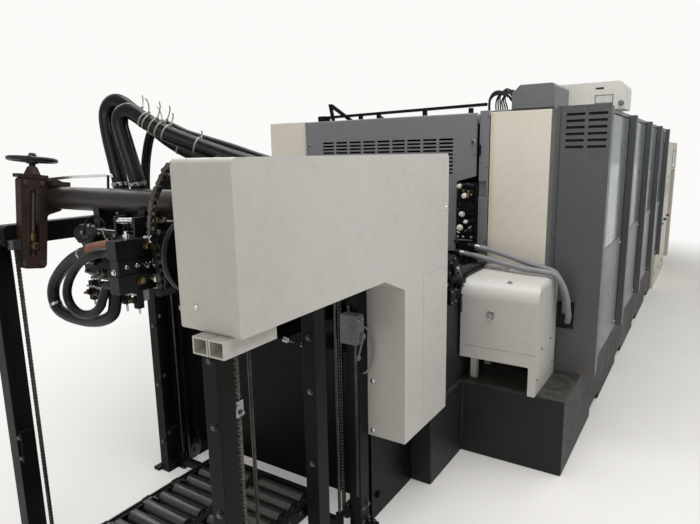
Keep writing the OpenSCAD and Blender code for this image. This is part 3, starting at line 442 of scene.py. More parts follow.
# Grey ribbed conduit
CONDUIT = Finish(
    "grey_ribbed_conduit", "#84858a", "#5f5e5e", 0.4, "conduit_grey", grain=Grain.MOULDED, grime=0.4, dust=0.1
)
# White nylon of cable ties
NYLON = Finish("white_nylon", "#96938a", "#7b776c", 0.4, "white_knobs", grain=Grain.MOULDED)
# Brown tape wound round the hose's end
TAPE = Finish(
    "brown_wound_tape", "#81543a", "#54351f", 0.5, "hose_rubber", grain=Grain.MOULDED, grime=0.7, relief=0.2
)

NODE_FINISHES: dict[str, Finish] = {
    "base_bed": BED_GREY, "feeder_frames": BLACK, "feeder_posts": BLACK, "feeder_cross_beams": BLACK,
    "head_tube": TUBE, "tube_bracket": RUST, "feeder_cover": CREAM, "suction_head": HEAD, "sucker_feet": STEEL,
    "hoist_sprockets": DULL_STEEL, "hoist_chains": CHAIN, "guide_rods": OILED_ROD, "pile_switch": SWITCH,
    "pile_table": BLACK, "table_rollers": ROLLER, "handwheel": PLASTIC, "feed_board": BOARD,
    "damper_drive": BLACK, "damper_knobs": WHITE_KNOB, "infeed_guard": GUARD_GREY, "floor_cabinet": CREAM,
    "unit_frames": FRAME_GREY, "print_cylinders": CYLINDER, "ink_rollers": RUBBER, "tower_covers": TOWER,
    "operator_cases": LOW_PANEL, "side_pillars": PILLAR_GREY, "side_door_1": DOOR_GLOSS,
    "side_door_2": DOOR_GLOSS, "side_door_3": DOOR_GLOSS, "side_door_4": DOOR_GLOSS,
    "louvred_panel": PILLAR_GREY, "cream_panels": YELLOWED, "air_hose_rear": HOSE, "air_hose_front": HOSE,
    "air_hose_branch": HOSE, "head_hose_outer": HOSE, "head_hose_inner": HOSE, "conduit_upper": CONDUIT,
    "conduit_lower": CONDUIT, "top_rail": BLACK, "grey_top_box": BOX_GREY, "cream_top_box": CREAM,
    "delivery_covers": PANEL_CREAM, "delivery_board": WOOD,
}


def settle(piece: Object, finish: Finish, body: str = "press") -> Object:
    """Gives a piece its finish and its body.

    Args:
        piece: a mesh object in its place.
        finish: its finish.
        body: the CAD body that it rides on.

    Returns:
        The same object.
    """
    piece.data.materials.clear()
    piece.data.materials.append(finish.material())
    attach(piece, body)
    LOG.info("%s rides on %s", piece.name, body)
    return piece


def mesh_piece(
    name: str, work: bmesh.types.BMesh, finish: Finish, body: str = "press", smooth: float = 35.0
) -> Object:
    """Turns a bmesh into a finished piece.

    Args:
        name: the piece's name.
        work: its mesh, freed here.
        finish: its finish.
        body: the CAD body that it rides on.
        smooth: the angle in degrees under which edges shade smooth.

    Returns:
        The new object.
    """
    mesh = bpy.data.meshes.new(name)
    bmesh.ops.recalc_face_normals(work, faces=work.faces)
    for face in work.faces:
        face.smooth = True
    for edge in work.edges:
        edge.smooth = edge.calc_face_angle(0.0) < math.radians(smooth)
    work.to_mesh(mesh)
    work.free()
    made = placed(name, mesh)
    # Large flat faces keep their own shade, and only the eased edges turn the light
    even = made.modifiers.new("even_shading", "WEIGHTED_NORMAL")
    even.keep_sharp = True
    even.weight = 100
    return settle(made, finish, body)


def softened(name: str, finish: Finish, width: float, body: str = "press", segments: int = 2) -> Object:
    """Copies a CAD node and breaks its sharp edges, as folded sheet and castings have them.

    Args:
        name: the CAD node, which the piece then stands for.
        finish: the piece's finish.
        width: how wide the broken edge is, in millimetres.
        body: the CAD body that it rides on.
        segments: steps across the broken edge.

    Returns:
        The new piece.
    """
    wide = width * MM
    work = bmesh.new()
    work.from_mesh(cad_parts[name].data)
    bmesh.ops.remove_doubles(work, verts=work.verts, dist=2e-5)
    bmesh.ops.dissolve_limit(work, angle_limit=math.radians(0.6), verts=work.verts, edges=work.edges)
    chosen = []
    for edge in work.edges:
        if len(edge.link_faces) != 2 or edge.calc_face_angle(0.0) < math.radians(32):
            continue
        start, along = edge.verts[0].co, (edge.verts[1].co - edge.verts[0].co).normalized()
        if all(
            max((v.co - start).cross(along).length for v in face.verts) > 4 * wide for face in edge.link_faces
        ):
            chosen.append(edge)
    if chosen:
        shape = {"segments": segments, "profile": 0.5, "affect": "EDGES", "clamp_overlap": True}
        bmesh.ops.bevel(work, geom=chosen, offset=wide, **shape)
    piece = mesh_piece(name + "_shell", work, finish, body, 50.0)
    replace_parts(piece, name)
    return piece


def smooth_route(points: list[Point], step: float) -> list[Vector]:
    """Runs a Catmull-Rom curve through points.

    Args:
        points: the route.
        step: the distance between points of the result.

    Returns:
        Points along the curve.
    """
    knots = [Vector(p) for p in points]
    knots = [2 * knots[0] - knots[1], *knots, 2 * knots[-1] - knots[-2]]
    path: list[Vector] = []
    for a, b, c, d in zip(knots, knots[1:], knots[2:], knots[3:]):
        count = max(2, round((c - b).length / step))
        for i in range(count):
            t = i / count
            bend = (2 * a - 5 * b + 4 * c - d) * t * t + (3 * b - a - 3 * c + d) * t**3
            path.append(0.5 * (2 * b + (c - a) * t + bend))
    return [*path, knots[-2]]


def route_length(path: list[Vector]) -> float:
    """Returns the length of a path of points."""
    return sum((b - a).length for a, b in zip(path, path[1:]))


def spot_on(path: list[Vector], distance: float) -> tuple[Vector, Vector]:
    """Finds a place along a path.

    Args:
        path: points of the path.
        distance: how far along it.

    Returns:
        The point there and the path's direction.
    """
    for a, b in zip(path, path[1:]):
        step = (b - a).length
        if distance <= step:
            return a.lerp(b, distance / step), (b - a).normalized()
        distance -= step
    return path[-1], (path[-1] - path[-2]).normalized()


class Stock:
    """Raw mesh in the making, in millimetres, which becomes one piece."""

    def __init__(self) -> None:
        """Starts with an empty mesh."""
        self.work = bmesh.new()

    def block(self, low: Point, high: Point, ease: float = 1.0) -> "Stock":
        """Adds a bar between two corners with its edges eased.

        Args:
            low: the lowest corner.
            high: the highest corner.
            ease: width of the eased edges.

        Returns:
            This stock.
        """
        size = Vector(high) - Vector(low)
        place = Matrix.Translation((Vector(low) + Vector(high)) / 2) @ Matrix.Diagonal((*size, 1.0))
        verts = bmesh.ops.create_cube(self.work, size=1.0, matrix=place)["verts"]
        edges = list({e for v in verts for e in v.link_edges})
        shape = {"segments": 1, "profile": 0.5, "affect": "EDGES", "clamp_overlap": True}
        bmesh.ops.bevel(self.work, geom=edges, offset=min(ease, min(size) / 3), **shape)
        return self

    def rim(self, low: Point, high: Point, axis: int, width: float, ease: float) -> "Stock":
        """Adds four bars round an upright opening.

        Args:
            low: the lowest outer corner.
            high: the highest outer corner.
            axis: 0 or 1, the axis along which the level bars run.
            width: the bars' width.
            ease: width of the eased edges.

        Returns:
            This stock.
        """
        for way in (axis, 2):
            first, last = list(high), list(low)
            first[way], last[way] = low[way] + width, high[way] - width
            self.block(low, tuple(first), ease).block(tuple(last), high, ease)
        return self

    def slab(self, outline: list[Point], push: Point) -> "Stock":
        """Pushes a flat outline out into a plate.

        Args:
            outline: the corners in order.
            push: how far and which way the plate's other side lies.

        Returns:
            This stock.
        """
        near = [self.work.verts.new(p) for p in outline]
        far = [self.work.verts.new(Vector(p) + Vector(push)) for p in outline]
        self.work.faces.new(near[::-1])
        self.work.faces.new(far)
        for k in range(len(near)):
            m = (k + 1) % len(near)
            self.work.faces.new((near[k], near[m], far[m], far[k]))
        return self

    def skin(self, rings: list[list[Vector]], closed: bool = False) -> "Stock":
        """Joins rings of points into a tube.

        Args:
            rings: the rings, each with as many points.
            closed: whether the last ring meets the first one.

        Returns:
            This stock.
        """
        rows = [[self.work.verts.new(p) for p in ring] for ring in rings]
        for low, high in zip(rows, rows[1:] + (rows[:1] if closed else [])):
            for k in range(len(low)):
                m = (k + 1) % len(low)
                self.work.faces.new((low[k], low[m], high[m], high[k]))
        if not closed:
            self.work.faces.new(rows[0][::-1])
            self.work.faces.new(rows[-1])
        return self

    def turned(self, base: Point, axis: Point, profile: list[tuple[float, float]], sides: int = 18) -> "Stock":
        """Turns a profile about an axis, as on a lathe.

        Args:
            base: where the profile's zero lies.
            axis: the direction of the axis.
            profile: pairs of distance along the axis and radius.
            sides: sides of the round.

        Returns:
            This stock.
        """
        along = Vector(axis).normalized()
        u = along.orthogonal().normalized()
        v = along.cross(u)
        rays = [math.cos(a) * u + math.sin(a) * v for a in (2 * math.pi * k / sides for k in range(sides))]
        return self.skin([[Vector(base) + along * z + max(r, 0.02) * ray for ray in rays] for z, r in profile])

    def rod(self, start: Point, end: Point, diameter: float, sides: int = 12) -> "Stock":
        """Adds a round rod with chamfered ends.

        Args:
            start: the middle of one end.
            end: the middle of the other end.
            diameter: the rod's diameter.
            sides: sides of the round.

        Returns:
            This stock.
        """
        way = Vector(end) - Vector(start)
        long, r = way.length, diameter / 2
        ease = min(0.15 * r + 0.3, long / 4)
        return self.turned(
            start, tuple(way), [(0, r - ease), (ease, r), (long - ease, r), (long, r - ease)], sides
        )

    def nut(self, seat: Point, way: Point, across: float, height: float | None = None) -> "Stock":
        """Adds a hexagon head or nut on its washer.

        Args:
            seat: the middle of its seat.
            way: the direction in which it stands out.
            across: its width across corners.
            height: its height, or None for that of a normal head.

        Returns:
            This stock.
        """
        r, high = across / 2, height or 0.45 * across
        self.turned(seat, way, [(0, 1.25 * r), (0.14 * r, 1.25 * r), (0.18 * r, 1.15 * r)], 16)
        return self.turned(seat, way, [(0.1 * r, r), (high - 0.12 * r, r), (high, 0.86 * r)], 6)

    def sweep(
        self, path: list[Vector], radii: list[float] | float, sides: int = 10, closed: bool = False
    ) -> "Stock":
        """Sweeps a round section along a path.

        Args:
            path: the centre line.
            radii: the radius at each point of the path, or one for all.
            sides: sides of the section.
            closed: whether the path closes on itself.

        Returns:
            This stock.
        """
        sizes = radii if isinstance(radii, list) else [radii] * len(path)
        normal = (path[1] - path[0]).orthogonal().normalized()
        turns = [2 * math.pi * k / sides for k in range(sides)]
        rings = []
        for i, point in enumerate(path):
            ahead = path[(i + 1) % len(path)] if closed else path[min(i + 1, len(path) - 1)]
            behind = path[i - 1] if closed else path[max(i - 1, 0)]
            along = (ahead - behind).normalized()
            normal = (normal - along * normal.dot(along)).normalized()
            side = along.cross(normal)
            rings.append([point + sizes[i] * (math.cos(a) * normal + math.sin(a) * side) for a in turns])
        return self.skin(rings, closed)

    def spring(self, start: Point, end: Point, radius: float, wire: float, turns: int) -> "Stock":
        """Winds a spring or a thread between two points.

        Args:
            start: the middle of one end.
            end: the middle of the other end.
            radius: the radius of the winding's centre line.
            wire: the wire's diameter.
            turns: how many turns.

        Returns:
            This stock.
        """
        way = Vector(end) - Vector(start)
        u = way.orthogonal().normalized()
        v = way.normalized().cross(u)
        steps = 10 * turns
        path = []
        for i in range(steps + 1):
            a = i * math.pi / 5
            path.append(Vector(start) + way * (i / steps) + radius * (math.cos(a) * u + math.sin(a) * v))
        return self.sweep(path, wire / 2, 5)

    def hoop(self, centre: Vector, axis: Vector, radius: float, width: float, thick: float) -> "Stock":
        """Lays a flat band round a hose.

        Args:
            centre: the middle of the hose.
            axis: the hose's direction.
            radius: the hose's radius.
            width: width of the band.
            thick: its thickness.

        Returns:
            This stock.
        """
        along = axis.normalized()
        u = along.orthogonal().normalized()
        v = along.cross(u)
        half, sides, rings = along * width / 2, 28, []
        for k in range(sides):
            out = math.cos(2 * math.pi * k / sides) * u + math.sin(2 * math.pi * k / sides) * v
            rim = centre + out * radius
            rings.append([rim - half, rim + out * thick - half, rim + out * thick + half, rim + half])
        return self.skin(rings, True)

    def strap(self, path: list[Vector], side: Point, width: float, thick: float) -> "Stock":
        """Runs a flat strip along a path.

        Args:
            path: the strip's middle line.
            side: the direction of its width.
            width: its width.
            thick: its thickness.

        Returns:
            This stock.
        """
        across = Vector(side).normalized() * width / 2
        rings = []
        for i, point in enumerate(path):
            along = (path[min(i + 1, len(path) - 1)] - path[max(i - 1, 0)]).normalized()
            up = along.cross(across).normalized() * thick / 2
            rings.append([point - across - up, point + across - up, point + across + up, point - across + up])
        return self.skin(rings)

    def mesh(self, name: str) -> Mesh:
        """Turns the stock into a plain mesh in metres.

        Args:
            name: the mesh's name.

        Returns:
            The mesh.
        """
        bmesh.ops.scale(self.work, vec=(MM, MM, MM), verts=self.work.verts)
        bmesh.ops.recalc_face_normals(self.work, faces=self.work.faces)
        made = bpy.data.meshes.new(name)
        self.work.to_mesh(made)
        self.work.free()
        return made

    def piece(self, name: str, finish: Finish, body: str = "press", smooth: float = 35.0) -> Object:
        """Turns the stock into one finished piece.

        Args:
            name: the piece's name.
            finish: its finish.
            body: the CAD body that it rides on.
            smooth: the angle in degrees under which edges shade smooth.

        Returns:
            The piece.
        """
        bmesh.ops.scale(self.work, vec=(MM, MM, MM), verts=self.work.verts)
        return mesh_piece(name, self.work, finish, body, smooth)


def geometry_tree(name: str, inputs: dict[str, tuple[str, object]]) -> NodeTree:
    """Starts a Geometry Nodes tree.

    Args:
        name: the tree's name.
        inputs: each further input's socket type and default value.

    Returns:
        The tree, with its sockets and no nodes yet.
    """
    made = bpy.data.node_groups.new(name, "GeometryNodeTree")
    made.interface.new_socket("Geometry", in_out="INPUT", socket_type="NodeSocketGeometry")
    for label, (kind, value) in inputs.items():
        made.interface.new_socket(label, in_out="INPUT", socket_type=kind).default_value = value
    made.interface.new_socket("Geometry", in_out="OUTPUT", socket_type="NodeSocketGeometry")
    return made


def end_tree(tree: NodeTree, copies: NodeSocket, finish: Finish) -> None:
    """Makes a tree's copies real, gives them their finish and sends them out.

    Args:
        tree: the tree.
        copies: the socket that carries them.
        finish: their finish.
    """
    real = node(tree, "GeometryNodeRealizeInstances", links={"Geometry": copies})
    coat = node(
        tree, "GeometryNodeSetMaterial", links={"Geometry": real.outputs[0]}, Material=finish.material()
    )
    node(tree, "NodeGroupOutput", links={0: coat.outputs[0]})


def grown(data: ID, tree: NodeTree, values: dict[str, object]) -> Mesh:
    """Runs a tree on a mesh or a curve.

    Args:
        data: the mesh or the curve.
        tree: the tree.
        values: the tree's inputs by name.

    Returns:
        The plain mesh that the tree makes.
    """
    source = placed(data.name, data)
    copies = source.modifiers.new("copies", "NODES")
    copies.node_group = tree
    sockets = {i.name: i.identifier for i in tree.interface.items_tree}
    for label, value in values.items():
        copies[sockets[label]] = value
    bpy.context.view_layer.update()
    made = bpy.data.meshes.new_from_object(source.evaluated_get(bpy.context.evaluated_depsgraph_get()))
    bpy.data.objects.remove(source)
    return made


def joined(name: str, meshes: list[Mesh], finish: Finish, body: str = "press", smooth: float = 40.0) -> Object:
    """Joins plain meshes into one finished piece.

    Args:
        name: the piece's name.
        meshes: the meshes, removed here.
        finish: the piece's finish.
        body: the CAD body that it rides on.
        smooth: the angle in degrees under which edges shade smooth.

    Returns:
        The piece.
    """
    work = bmesh.new()
    for mesh in meshes:
        work.from_mesh(mesh)
        bpy.data.meshes.remove(mesh)
    return mesh_piece(name, work, finish, body, smooth)


@dataclass(frozen=True)
class Spot:
    """Where one copy of a small shape sits: its place, the way it faces and the way its length runs."""

    at: Point
    facing: Point
    along: Point | None = None


@dataclass
class Repeat:
    """Geometry Nodes tree that sets one small shape on every point of a mesh."""

    name: str
    shape: Stock
    finish: Finish
    size: float = 1.0

    def tree(self) -> NodeTree:
        """Builds the tree with its named size.

        Returns:
            The tree, which ends in plain geometry with the finish.
        """
        made = geometry_tree(self.name, {"Size": ("NodeSocketFloat", 1.0)})
        start = node(made, "NodeGroupInput")
        single = bpy.data.objects.new(self.name + "_shape", self.shape.mesh(self.name + "_shape"))
        shape = node(made, "GeometryNodeObjectInfo", Object=single)
        reads = {"data_type": "FLOAT_VECTOR"}
        facing = node(made, "GeometryNodeInputNamedAttribute", reads, Name="facing")
        along = node(made, "GeometryNodeInputNamedAttribute", reads, Name="along")
        out = node(made, "FunctionNodeAlignRotationToVector", {"axis": "Z"}, {"Vector": facing.outputs[0]})
        sockets = {"Rotation": out.outputs[0], "Vector": along.outputs[0]}
        turn = node(made, "FunctionNodeAlignRotationToVector", {"axis": "X", "pivot_axis": "Z"}, sockets)
        sockets = {"Points": start.outputs[0], "Instance": shape.outputs["Geometry"]}
        sockets |= {"Rotation": turn.outputs[0], "Scale": start.outputs["Size"]}
        end_tree(made, node(made, "GeometryNodeInstanceOnPoints", links=sockets).outputs[0], self.finish)
        return made

    def place(self, spots: list[Spot], body: str = "press") -> Object:
        """Puts the shape on each spot.

        Args:
            spots: the spots, in millimetres.
            body: the CAD body that the copies ride on.

        Returns:
            One piece with all the copies.
        """
        mesh = bpy.data.meshes.new(self.name)
        mesh.from_pydata([Vector(s.at) * MM for s in spots], [], [])
        for label in ("facing", "along"):
            column = mesh.attributes.new(label, "FLOAT_VECTOR", "POINT")
            for i, spot in enumerate(spots):
                across = spot.along or Vector(spot.facing).orthogonal()
                column.data[i].vector = spot.facing if label == "facing" else across
        copies = grown(mesh, self.tree(), {"Size": self.size})
        return joined(self.name, [copies], self.finish, body)


class Head(Enum):
    """Kinds of screw head, each a profile for a head of 1 mm diameter as (height, radius)."""

    DOMED = ((0, 0.5), (0.08, 0.5), (0.2, 0.43), (0.29, 0.27), (0.31, 0.13), (0.24, 0.1), (0.24, 0))
    SOCKET = ((0, 0.5), (0.55, 0.5), (0.62, 0.44), (0.62, 0.27), (0.3, 0.25), (0.3, 0))
    LOCK = ((0, 0.5), (0.1, 0.5), (0.15, 0.45), (0.15, 0.2), (0.05, 0.18), (0.05, 0))

    def on(
        self, name: str, spots: list[tuple[Point, Point]], diameter: float, finish: Finish, body: str = "press",
        sides: int = 14,
    ) -> Object:
        """Puts heads of this kind on a set of places.

        Args:
            name: the piece's name.
            spots: pairs of a place in millimetres and the way that the head faces.
            diameter: the head's diameter in millimetres.
            finish: the heads' finish.
            body: the CAD body that they ride on.
            sides: sides of a head.

        Returns:
            One piece with all the heads.
        """
        shape = Stock().turned((0, 0, 0), UP, list(self.value), sides)
        return Repeat(name, shape, finish, diameter).place([Spot(at, facing) for at, facing in spots], body)


def nuts(
    name: str, spots: list[tuple[Point, Point]], across: float, finish: Finish, body: str = "press"
) -> Object:
    """Puts hexagon heads with washers on a set of places.

    Args:
        name: the piece's name.
        spots: pairs of a place in millimetres and the way that the head faces.
        across: width across corners in millimetres.
        finish: their finish.
        body: the CAD body that they ride on.

    Returns:
        One piece with all of them.
    """
    places = [Spot(at, facing) for at, facing in spots]
    return Repeat(name, Stock().nut((0, 0, 0), UP, across), finish).place(places, body)


HOSE_DIAMETERS: dict[str, float] = {
    "air_hose_rear": 50, "air_hose_front": 50, "air_hose_branch": 30, "head_hose_outer": 36,
    "head_hose_inner": 26,
}
HOSE_ROUTES: dict[str, list[Point]] = {
    "air_hose_rear": [
        (-1540, 130, 1190.3), (-1540, 130, 1230), (-1539, 140, 1290), (-1538, 150, 1340), (-1535, 168, 1400),
        (-1532, 188, 1465), (-1526, 204, 1530), (-1521, 198, 1566), (-1516, 172, 1586), (-1510, 140, 1580),
        (-1502, 108, 1558), (-1488, 70, 1528), (-1470, 28, 1492), (-1450, -18, 1454), (-1424, -75, 1418),
        (-1396, -160, 1384), (-1366, -260, 1348), (-1348, -360, 1326), (-1338, -425, 1318),
        (-1338, -457.7, 1318),
    ],
    "air_hose_front": [
        (-1540, 40, 1190.3), (-1540, 40, 1230), (-1542, 44, 1290), (-1548, 50, 1345), (-1552, 66, 1405),
        (-1556, 80, 1460), (-1558, 92, 1510), (-1556, 82, 1540), (-1548, 48, 1546), (-1534, -6, 1514),
        (-1510, -74, 1474), (-1480, -136, 1446), (-1446, -200, 1418), (-1416, -280, 1390), (-1400, -360, 1370),
        (-1395, -425, 1362), (-1395, -457.7, 1362),
    ],
    "air_hose_branch": [
        (-1490, 86, 1190.3), (-1490, 86, 1230), (-1486, 88, 1300), (-1474, 96, 1360), (-1456, 104, 1420),
        (-1436, 102, 1480), (-1422, 78, 1512), (-1408, 40, 1506), (-1390, -22, 1478), (-1370, -100, 1454),
        (-1346, -185, 1428), (-1322, -280, 1396), (-1312, -360, 1376), (-1312, -425, 1370),
        (-1312, -457.7, 1370),
    ],
    "head_hose_outer": [
        (-1745, y, z)
        for y, z in (
            (-117.7, 1154), (-92, 1154), (-50, 1152), (0, 1143), (54, 1128), (122, 1102), (190, 1060),
            (240, 1012), (254, 968), (236, 932), (190, 916), (130, 911), (60, 914), (-6, 928), (-54, 954),
            (-70, 992), (-77, 1030), (-94, 1056), (-117.7, 1056),
        )
    ],
    "head_hose_inner": [
        (-1775, -117.7, 1144), (-1775, -96, 1144), (-1785, -60, 1138), (-1789, -14, 1122), (-1789, 34, 1094),
        (-1789, 80, 1048), (-1789, 98, 1004), (-1787, 84, 968), (-1785, 44, 950), (-1781, -6, 956),
        (-1778, -44, 980), (-1776, -62, 1012), (-1775, -86, 1048), (-1775, -117.7, 1048),
    ],
}
CONDUIT_ROUTES: dict[str, list[Point]] = {
    "conduit_upper": [
        (-52, -540.3, 939), (-52, -562, 939), (-60, -600, 935), (-70, -656, 927), (-82, -720, 913),
        (-90, -781, 897), (-94, -838, 883), (-92, -893, 870), (-84, -938, 850), (-70, -964, 792),
        (-56, -976, 740), (-40, -978, 694), (-18, -972, 662), (6.3, -967, 652),
    ],
    "conduit_lower": [
        (-52, -461.7, 903), (-52, -484, 903), (-58, -515, 901), (-70, -565, 896), (-92, -664, 883),
        (-120, -787, 867), (-132, -883, 863), (-124, -944, 851), (-108, -976, 802), (-92, -992, 745),
        (-74, -996, 690), (-50, -996, 645), (-22, -988, 616), (6.3, -983, 606),
    ],
}
SLACK_ROUTE: list[Point] = [
    (-1680, y, z)
    for y, z in (
        (-284, 1384), (-262, 1372), (-240, 1346), (-200, 1292), (-180, 1234), (-176, 1184), (-188, 1149),
        (-197, 1104), (-199, 1070), (-199, 1033),
    )
]


@dataclass
class Hoses:
    """Air hoses, ribbed conduits, thin tubes and cables, each swept as a cord."""

    step: float = 9.0
    conduit_diameter: float = 28.0
    rib_pitch: float = 6.0
    tape_length: float = 128.0

    def cord(
        self, name: str, path: list[Vector], radii: list[float] | float, finish: Finish,
        sides: int, body: str = "press",
    ) -> Object:
        """Args:
            name: the piece's name.
            path: its middle line, in millimetres.
            radii: the radius at each point, or one for all.
            finish: its finish.
            sides: sides of its section.
            body: the CAD body that it rides on.

        Returns:
            The piece.
        """
        piece = Stock().sweep(path, radii, sides).piece(name, finish, body, 70.0)
        return piece

    def hose(self, name: str) -> list[Vector]:
        """Builds one smooth black hose in place of its CAD solid.

        Args:
            name: the CAD node.

        Returns:
            The path that it follows.
        """
        diameter = HOSE_DIAMETERS[name]
        path = smooth_route(HOSE_ROUTES[name], self.step)
        on_it = (self.wound_tape(path, diameter),) if name == "head_hose_outer" else ()
        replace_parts(self.cord(name + "_tube", path, diameter / 2, HOSE, 24), name)
        return path

    def wound_tape(self, path: list[Vector], diameter: float) -> Object:
        """Winds brown tape round the first stretch of a hose, in overlapping turns.

        Args:
            path: the hose's path.
            diameter: the hose's diameter.

        Returns:
            The tape.
        """
        steps, turn = 44, 5
        spots = [spot_on(path, 16 + self.tape_length * k / steps)[0] for k in range(steps + 1)]
        radii = [diameter / 2 + 0.6 + 1.5 * ((k % turn) / turn) for k in range(steps + 1)]
        for end in (0, steps):
            radii[end] += 0.6
        return Stock().sweep(spots, radii, 22).piece("wound_tape", TAPE, smooth=24.0)

    def conduit(self, name: str) -> None:
        """Builds one ribbed conduit in place of its CAD solid, with a ferrule at its gland.

        Args:
            name: the CAD node.
        """
        path = smooth_route(CONDUIT_ROUTES[name], self.rib_pitch / 4)
        crest = self.conduit_diameter / 2
        radii = [crest - (0.0, 0.5, 1.7, 0.5)[k % 4] for k in range(len(path))]
        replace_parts(self.cord(name + "_tube", path, radii, CONDUIT, 14), name)
        start, way = spot_on(path, 1.0)
        ferrule = Stock()
        ferrule.turned(
            tuple(start), tuple(way), [(0, 16), (1, 18), (11, 18), (12, 16.5), (20, 15.6), (22, 14.2)], 20
        )
        ferrule.piece(name + "_ferrule", STEEL)

    def tie(self, stock: Stock, path: list[Vector], distance: float, radius: float, tail: Point) -> None:
        """Adds a cable tie with its lock and its tail.

        Args:
            stock: the stock that gets it.
            path: the hose's path.
            distance: how far along the path it sits.
            radius: the hose's radius.
            tail: where the tail's end lies, from its lock.
        """
        at, way = spot_on(path, distance)
        stock.hoop(at, way, radius + 0.2, 4.8, 1.3)
        end = Vector(tail)
        lock = at + (end - way * end.dot(way)).normalized() * (radius + 3.0)
        stock.block(tuple(lock - Vector((3.5, 3.5, 3.0))), tuple(lock + Vector((3.5, 3.5, 3.0))), 0.8)
        bend = end.cross(way).normalized() * 6
        stock.strap(
            [lock, lock + end * 0.35 + bend, lock + end * 0.7 + bend * 1.4, lock + end], tuple(way), 4.2, 1.1
        )

    def dress(self) -> None:
        """Builds the hoses, their clamps and ties, the conduits and the thin cables."""
        paths = {name: self.hose(name) for name in HOSE_ROUTES}
        for name in CONDUIT_ROUTES:
            self.conduit(name)
        ties, clamps = Stock(), Stock()
        front, rear, branch = paths["air_hose_front"], paths["air_hose_rear"], paths["air_hose_branch"]
        for path, distance, tail in (
            (front, 452, (6, 14, 42)), (front, 466, (-14, -6, 46)), (front, 490, (4, -10, 48)),
            (front, 512, (-8, 12, 44)), (front, 536, (10, -4, 36)), (rear, 520, (10, 8, 40)),
            (branch, 372, (4, -12, 44)), (front, 640, (10, 4, 22)), (rear, 700, (8, 4, 20)),
        ):
            self.tie(ties, path, distance, 15 if path is branch else 25, tail)
        ties.piece("hose_ties", NYLON)
        for path, distance in ((front, 132), (rear, 128), (branch, 96), (front, 12), (rear, 12), (branch, 12)):
            at, way = spot_on(path, distance)
            radius = 15 if path is branch else 25
            clamps.hoop(at, way, radius + 0.1, 12 if radius > 20 else 9, 1.4)
            out = Vector((-1.0, -0.3, 0.0))
            seat = at + (out - way * out.dot(way)).normalized() * (radius + 4.5)
            clamps.block(tuple(seat - Vector((5, 11, 5))), tuple(seat + Vector((5, 11, 5))), 1.2)
            clamps.nut(tuple(seat + Vector((0, -11, 0))), NEAR, 9)
        for distance in (8, 190, 470):
            at, way = spot_on(paths["head_hose_outer"], distance)
            clamps.hoop(at, way, 18.1, 9, 1.2)
        clamps.piece("hose_clamps", STEEL)
        self.thin_lines()

    def thin(
        self, name: str, points: list[Point], diameter: float, finish: Finish = HOSE, step: float = 6,
        sides: int = 8,
    ) -> None:
        """Runs one thin cable or tube.

        Args:
            name: the piece's name.
            points: its route.
            diameter: its diameter in millimetres.
            finish: its finish.
            step: the distance between points of its middle line.
            sides: sides of its section.
        """
        self.cord(name, smooth_route(points, step), diameter / 2, finish, sides)

    def thin_lines(self) -> None:
        """Builds the thin cables and air tubes."""
        self.thin(
            "switch_cable",
            [
                (-1106.5, -516, 806), (-1096, -517, 806), (-1080, -520, 800), (-1066, -526, 778),
                (-1058, -533, 738), (-1057, -532, 694), (-1063, -526, 656), (-1073, -517, 634),
                (-1078, -505.2, 626),
            ],
            6.8, CONDUIT, 6, 8,
        )
        for k in range(6):
            lift, x = 9 * (k % 3), 46 + 26 * k
            self.thin(
                f"top_cable_{k + 1}",
                [
                    (x, -592 - 3 * k, 1598.2), (x, -590 - 3 * k, 1622), (x - 4, -594, 1648 + lift),
                    (x - 8, -608, 1672 + lift), (x - 10, -630, 1684 + lift), (x - 8, -654, 1678 + lift / 2),
                    (x - 3, -668, 1662), (x, -680.2, 1650 - 7 * k),
                ],
                7.2,
            )
        for k in range(5):
            lift, x, y = 7 * ((k + 1) % 3), 34 + 20 * k, -566 + 8 * k
            self.thin(
                f"frame_cable_{k + 1}",
                [
                    (x, y, 1581.2), (x - 1, y + 2, 1612), (x - 6, y - 1, 1642 + lift),
                    (x - 12, y - 16, 1666 + lift), (x - 12, y - 44, 1676 + lift),
                    (x - 6, y - 82, 1668 + lift / 2), (x + 2, -664, 1646), (x + 5, -680.2, 1632 - 6 * k),
                ],
                7.8,
            )
        for k in range(3):
            y = -452 - 16 * k
            self.thin(
                f"corner_cable_{k + 1}",
                [
                    (-8, y, 879.7), (-9, y - 1, 858), (-18 - 6 * k, y - 6, 824), (-34 - 8 * k, y - 14, 790),
                    (-48 - 12 * k, -500, 764 - 12 * k), (-58 - 16 * k, -512, 744 - 16 * k),
                    (-62 - 18 * k, -524.8, 736 - 18 * k),
                ],
                13, HOSE, 7, 10,
            )
        for side, hand in ((-1, "operator"), (1, "drive")):
            self.thin(
                f"sucker_tube_{hand}",
                [
                    (-1514, side * 120, 1190.2), (-1514, side * 120, 1212), (-1512, side * 140, 1234),
                    (-1508, side * 172, 1240), (-1502, side * 204, 1220), (-1497, side * 224, 1180),
                    (-1495, side * 230, 1140), (-1495, side * 230, 1102.2),
                ],
                8, HOSE, 7, 8,
            )
            self.thin(
                f"blast_tube_{hand}",
                [
                    (-1640, side * 60 + 40, 1190.2), (-1641, side * 60 + 40, 1204),
                    (-1650, side * 74 + 40, 1222), (-1668, side * 90 + 40, 1222), (-1684, side * 98 + 40, 1200),
                    (-1690, side * 100 + 40, 1164), (-1690, side * 96 + 40, 1120),
                    (-1682, side * 92 + 40, 1086), (-1667.2, side * 90 + 40, 1070),
                ],
                8,
            )


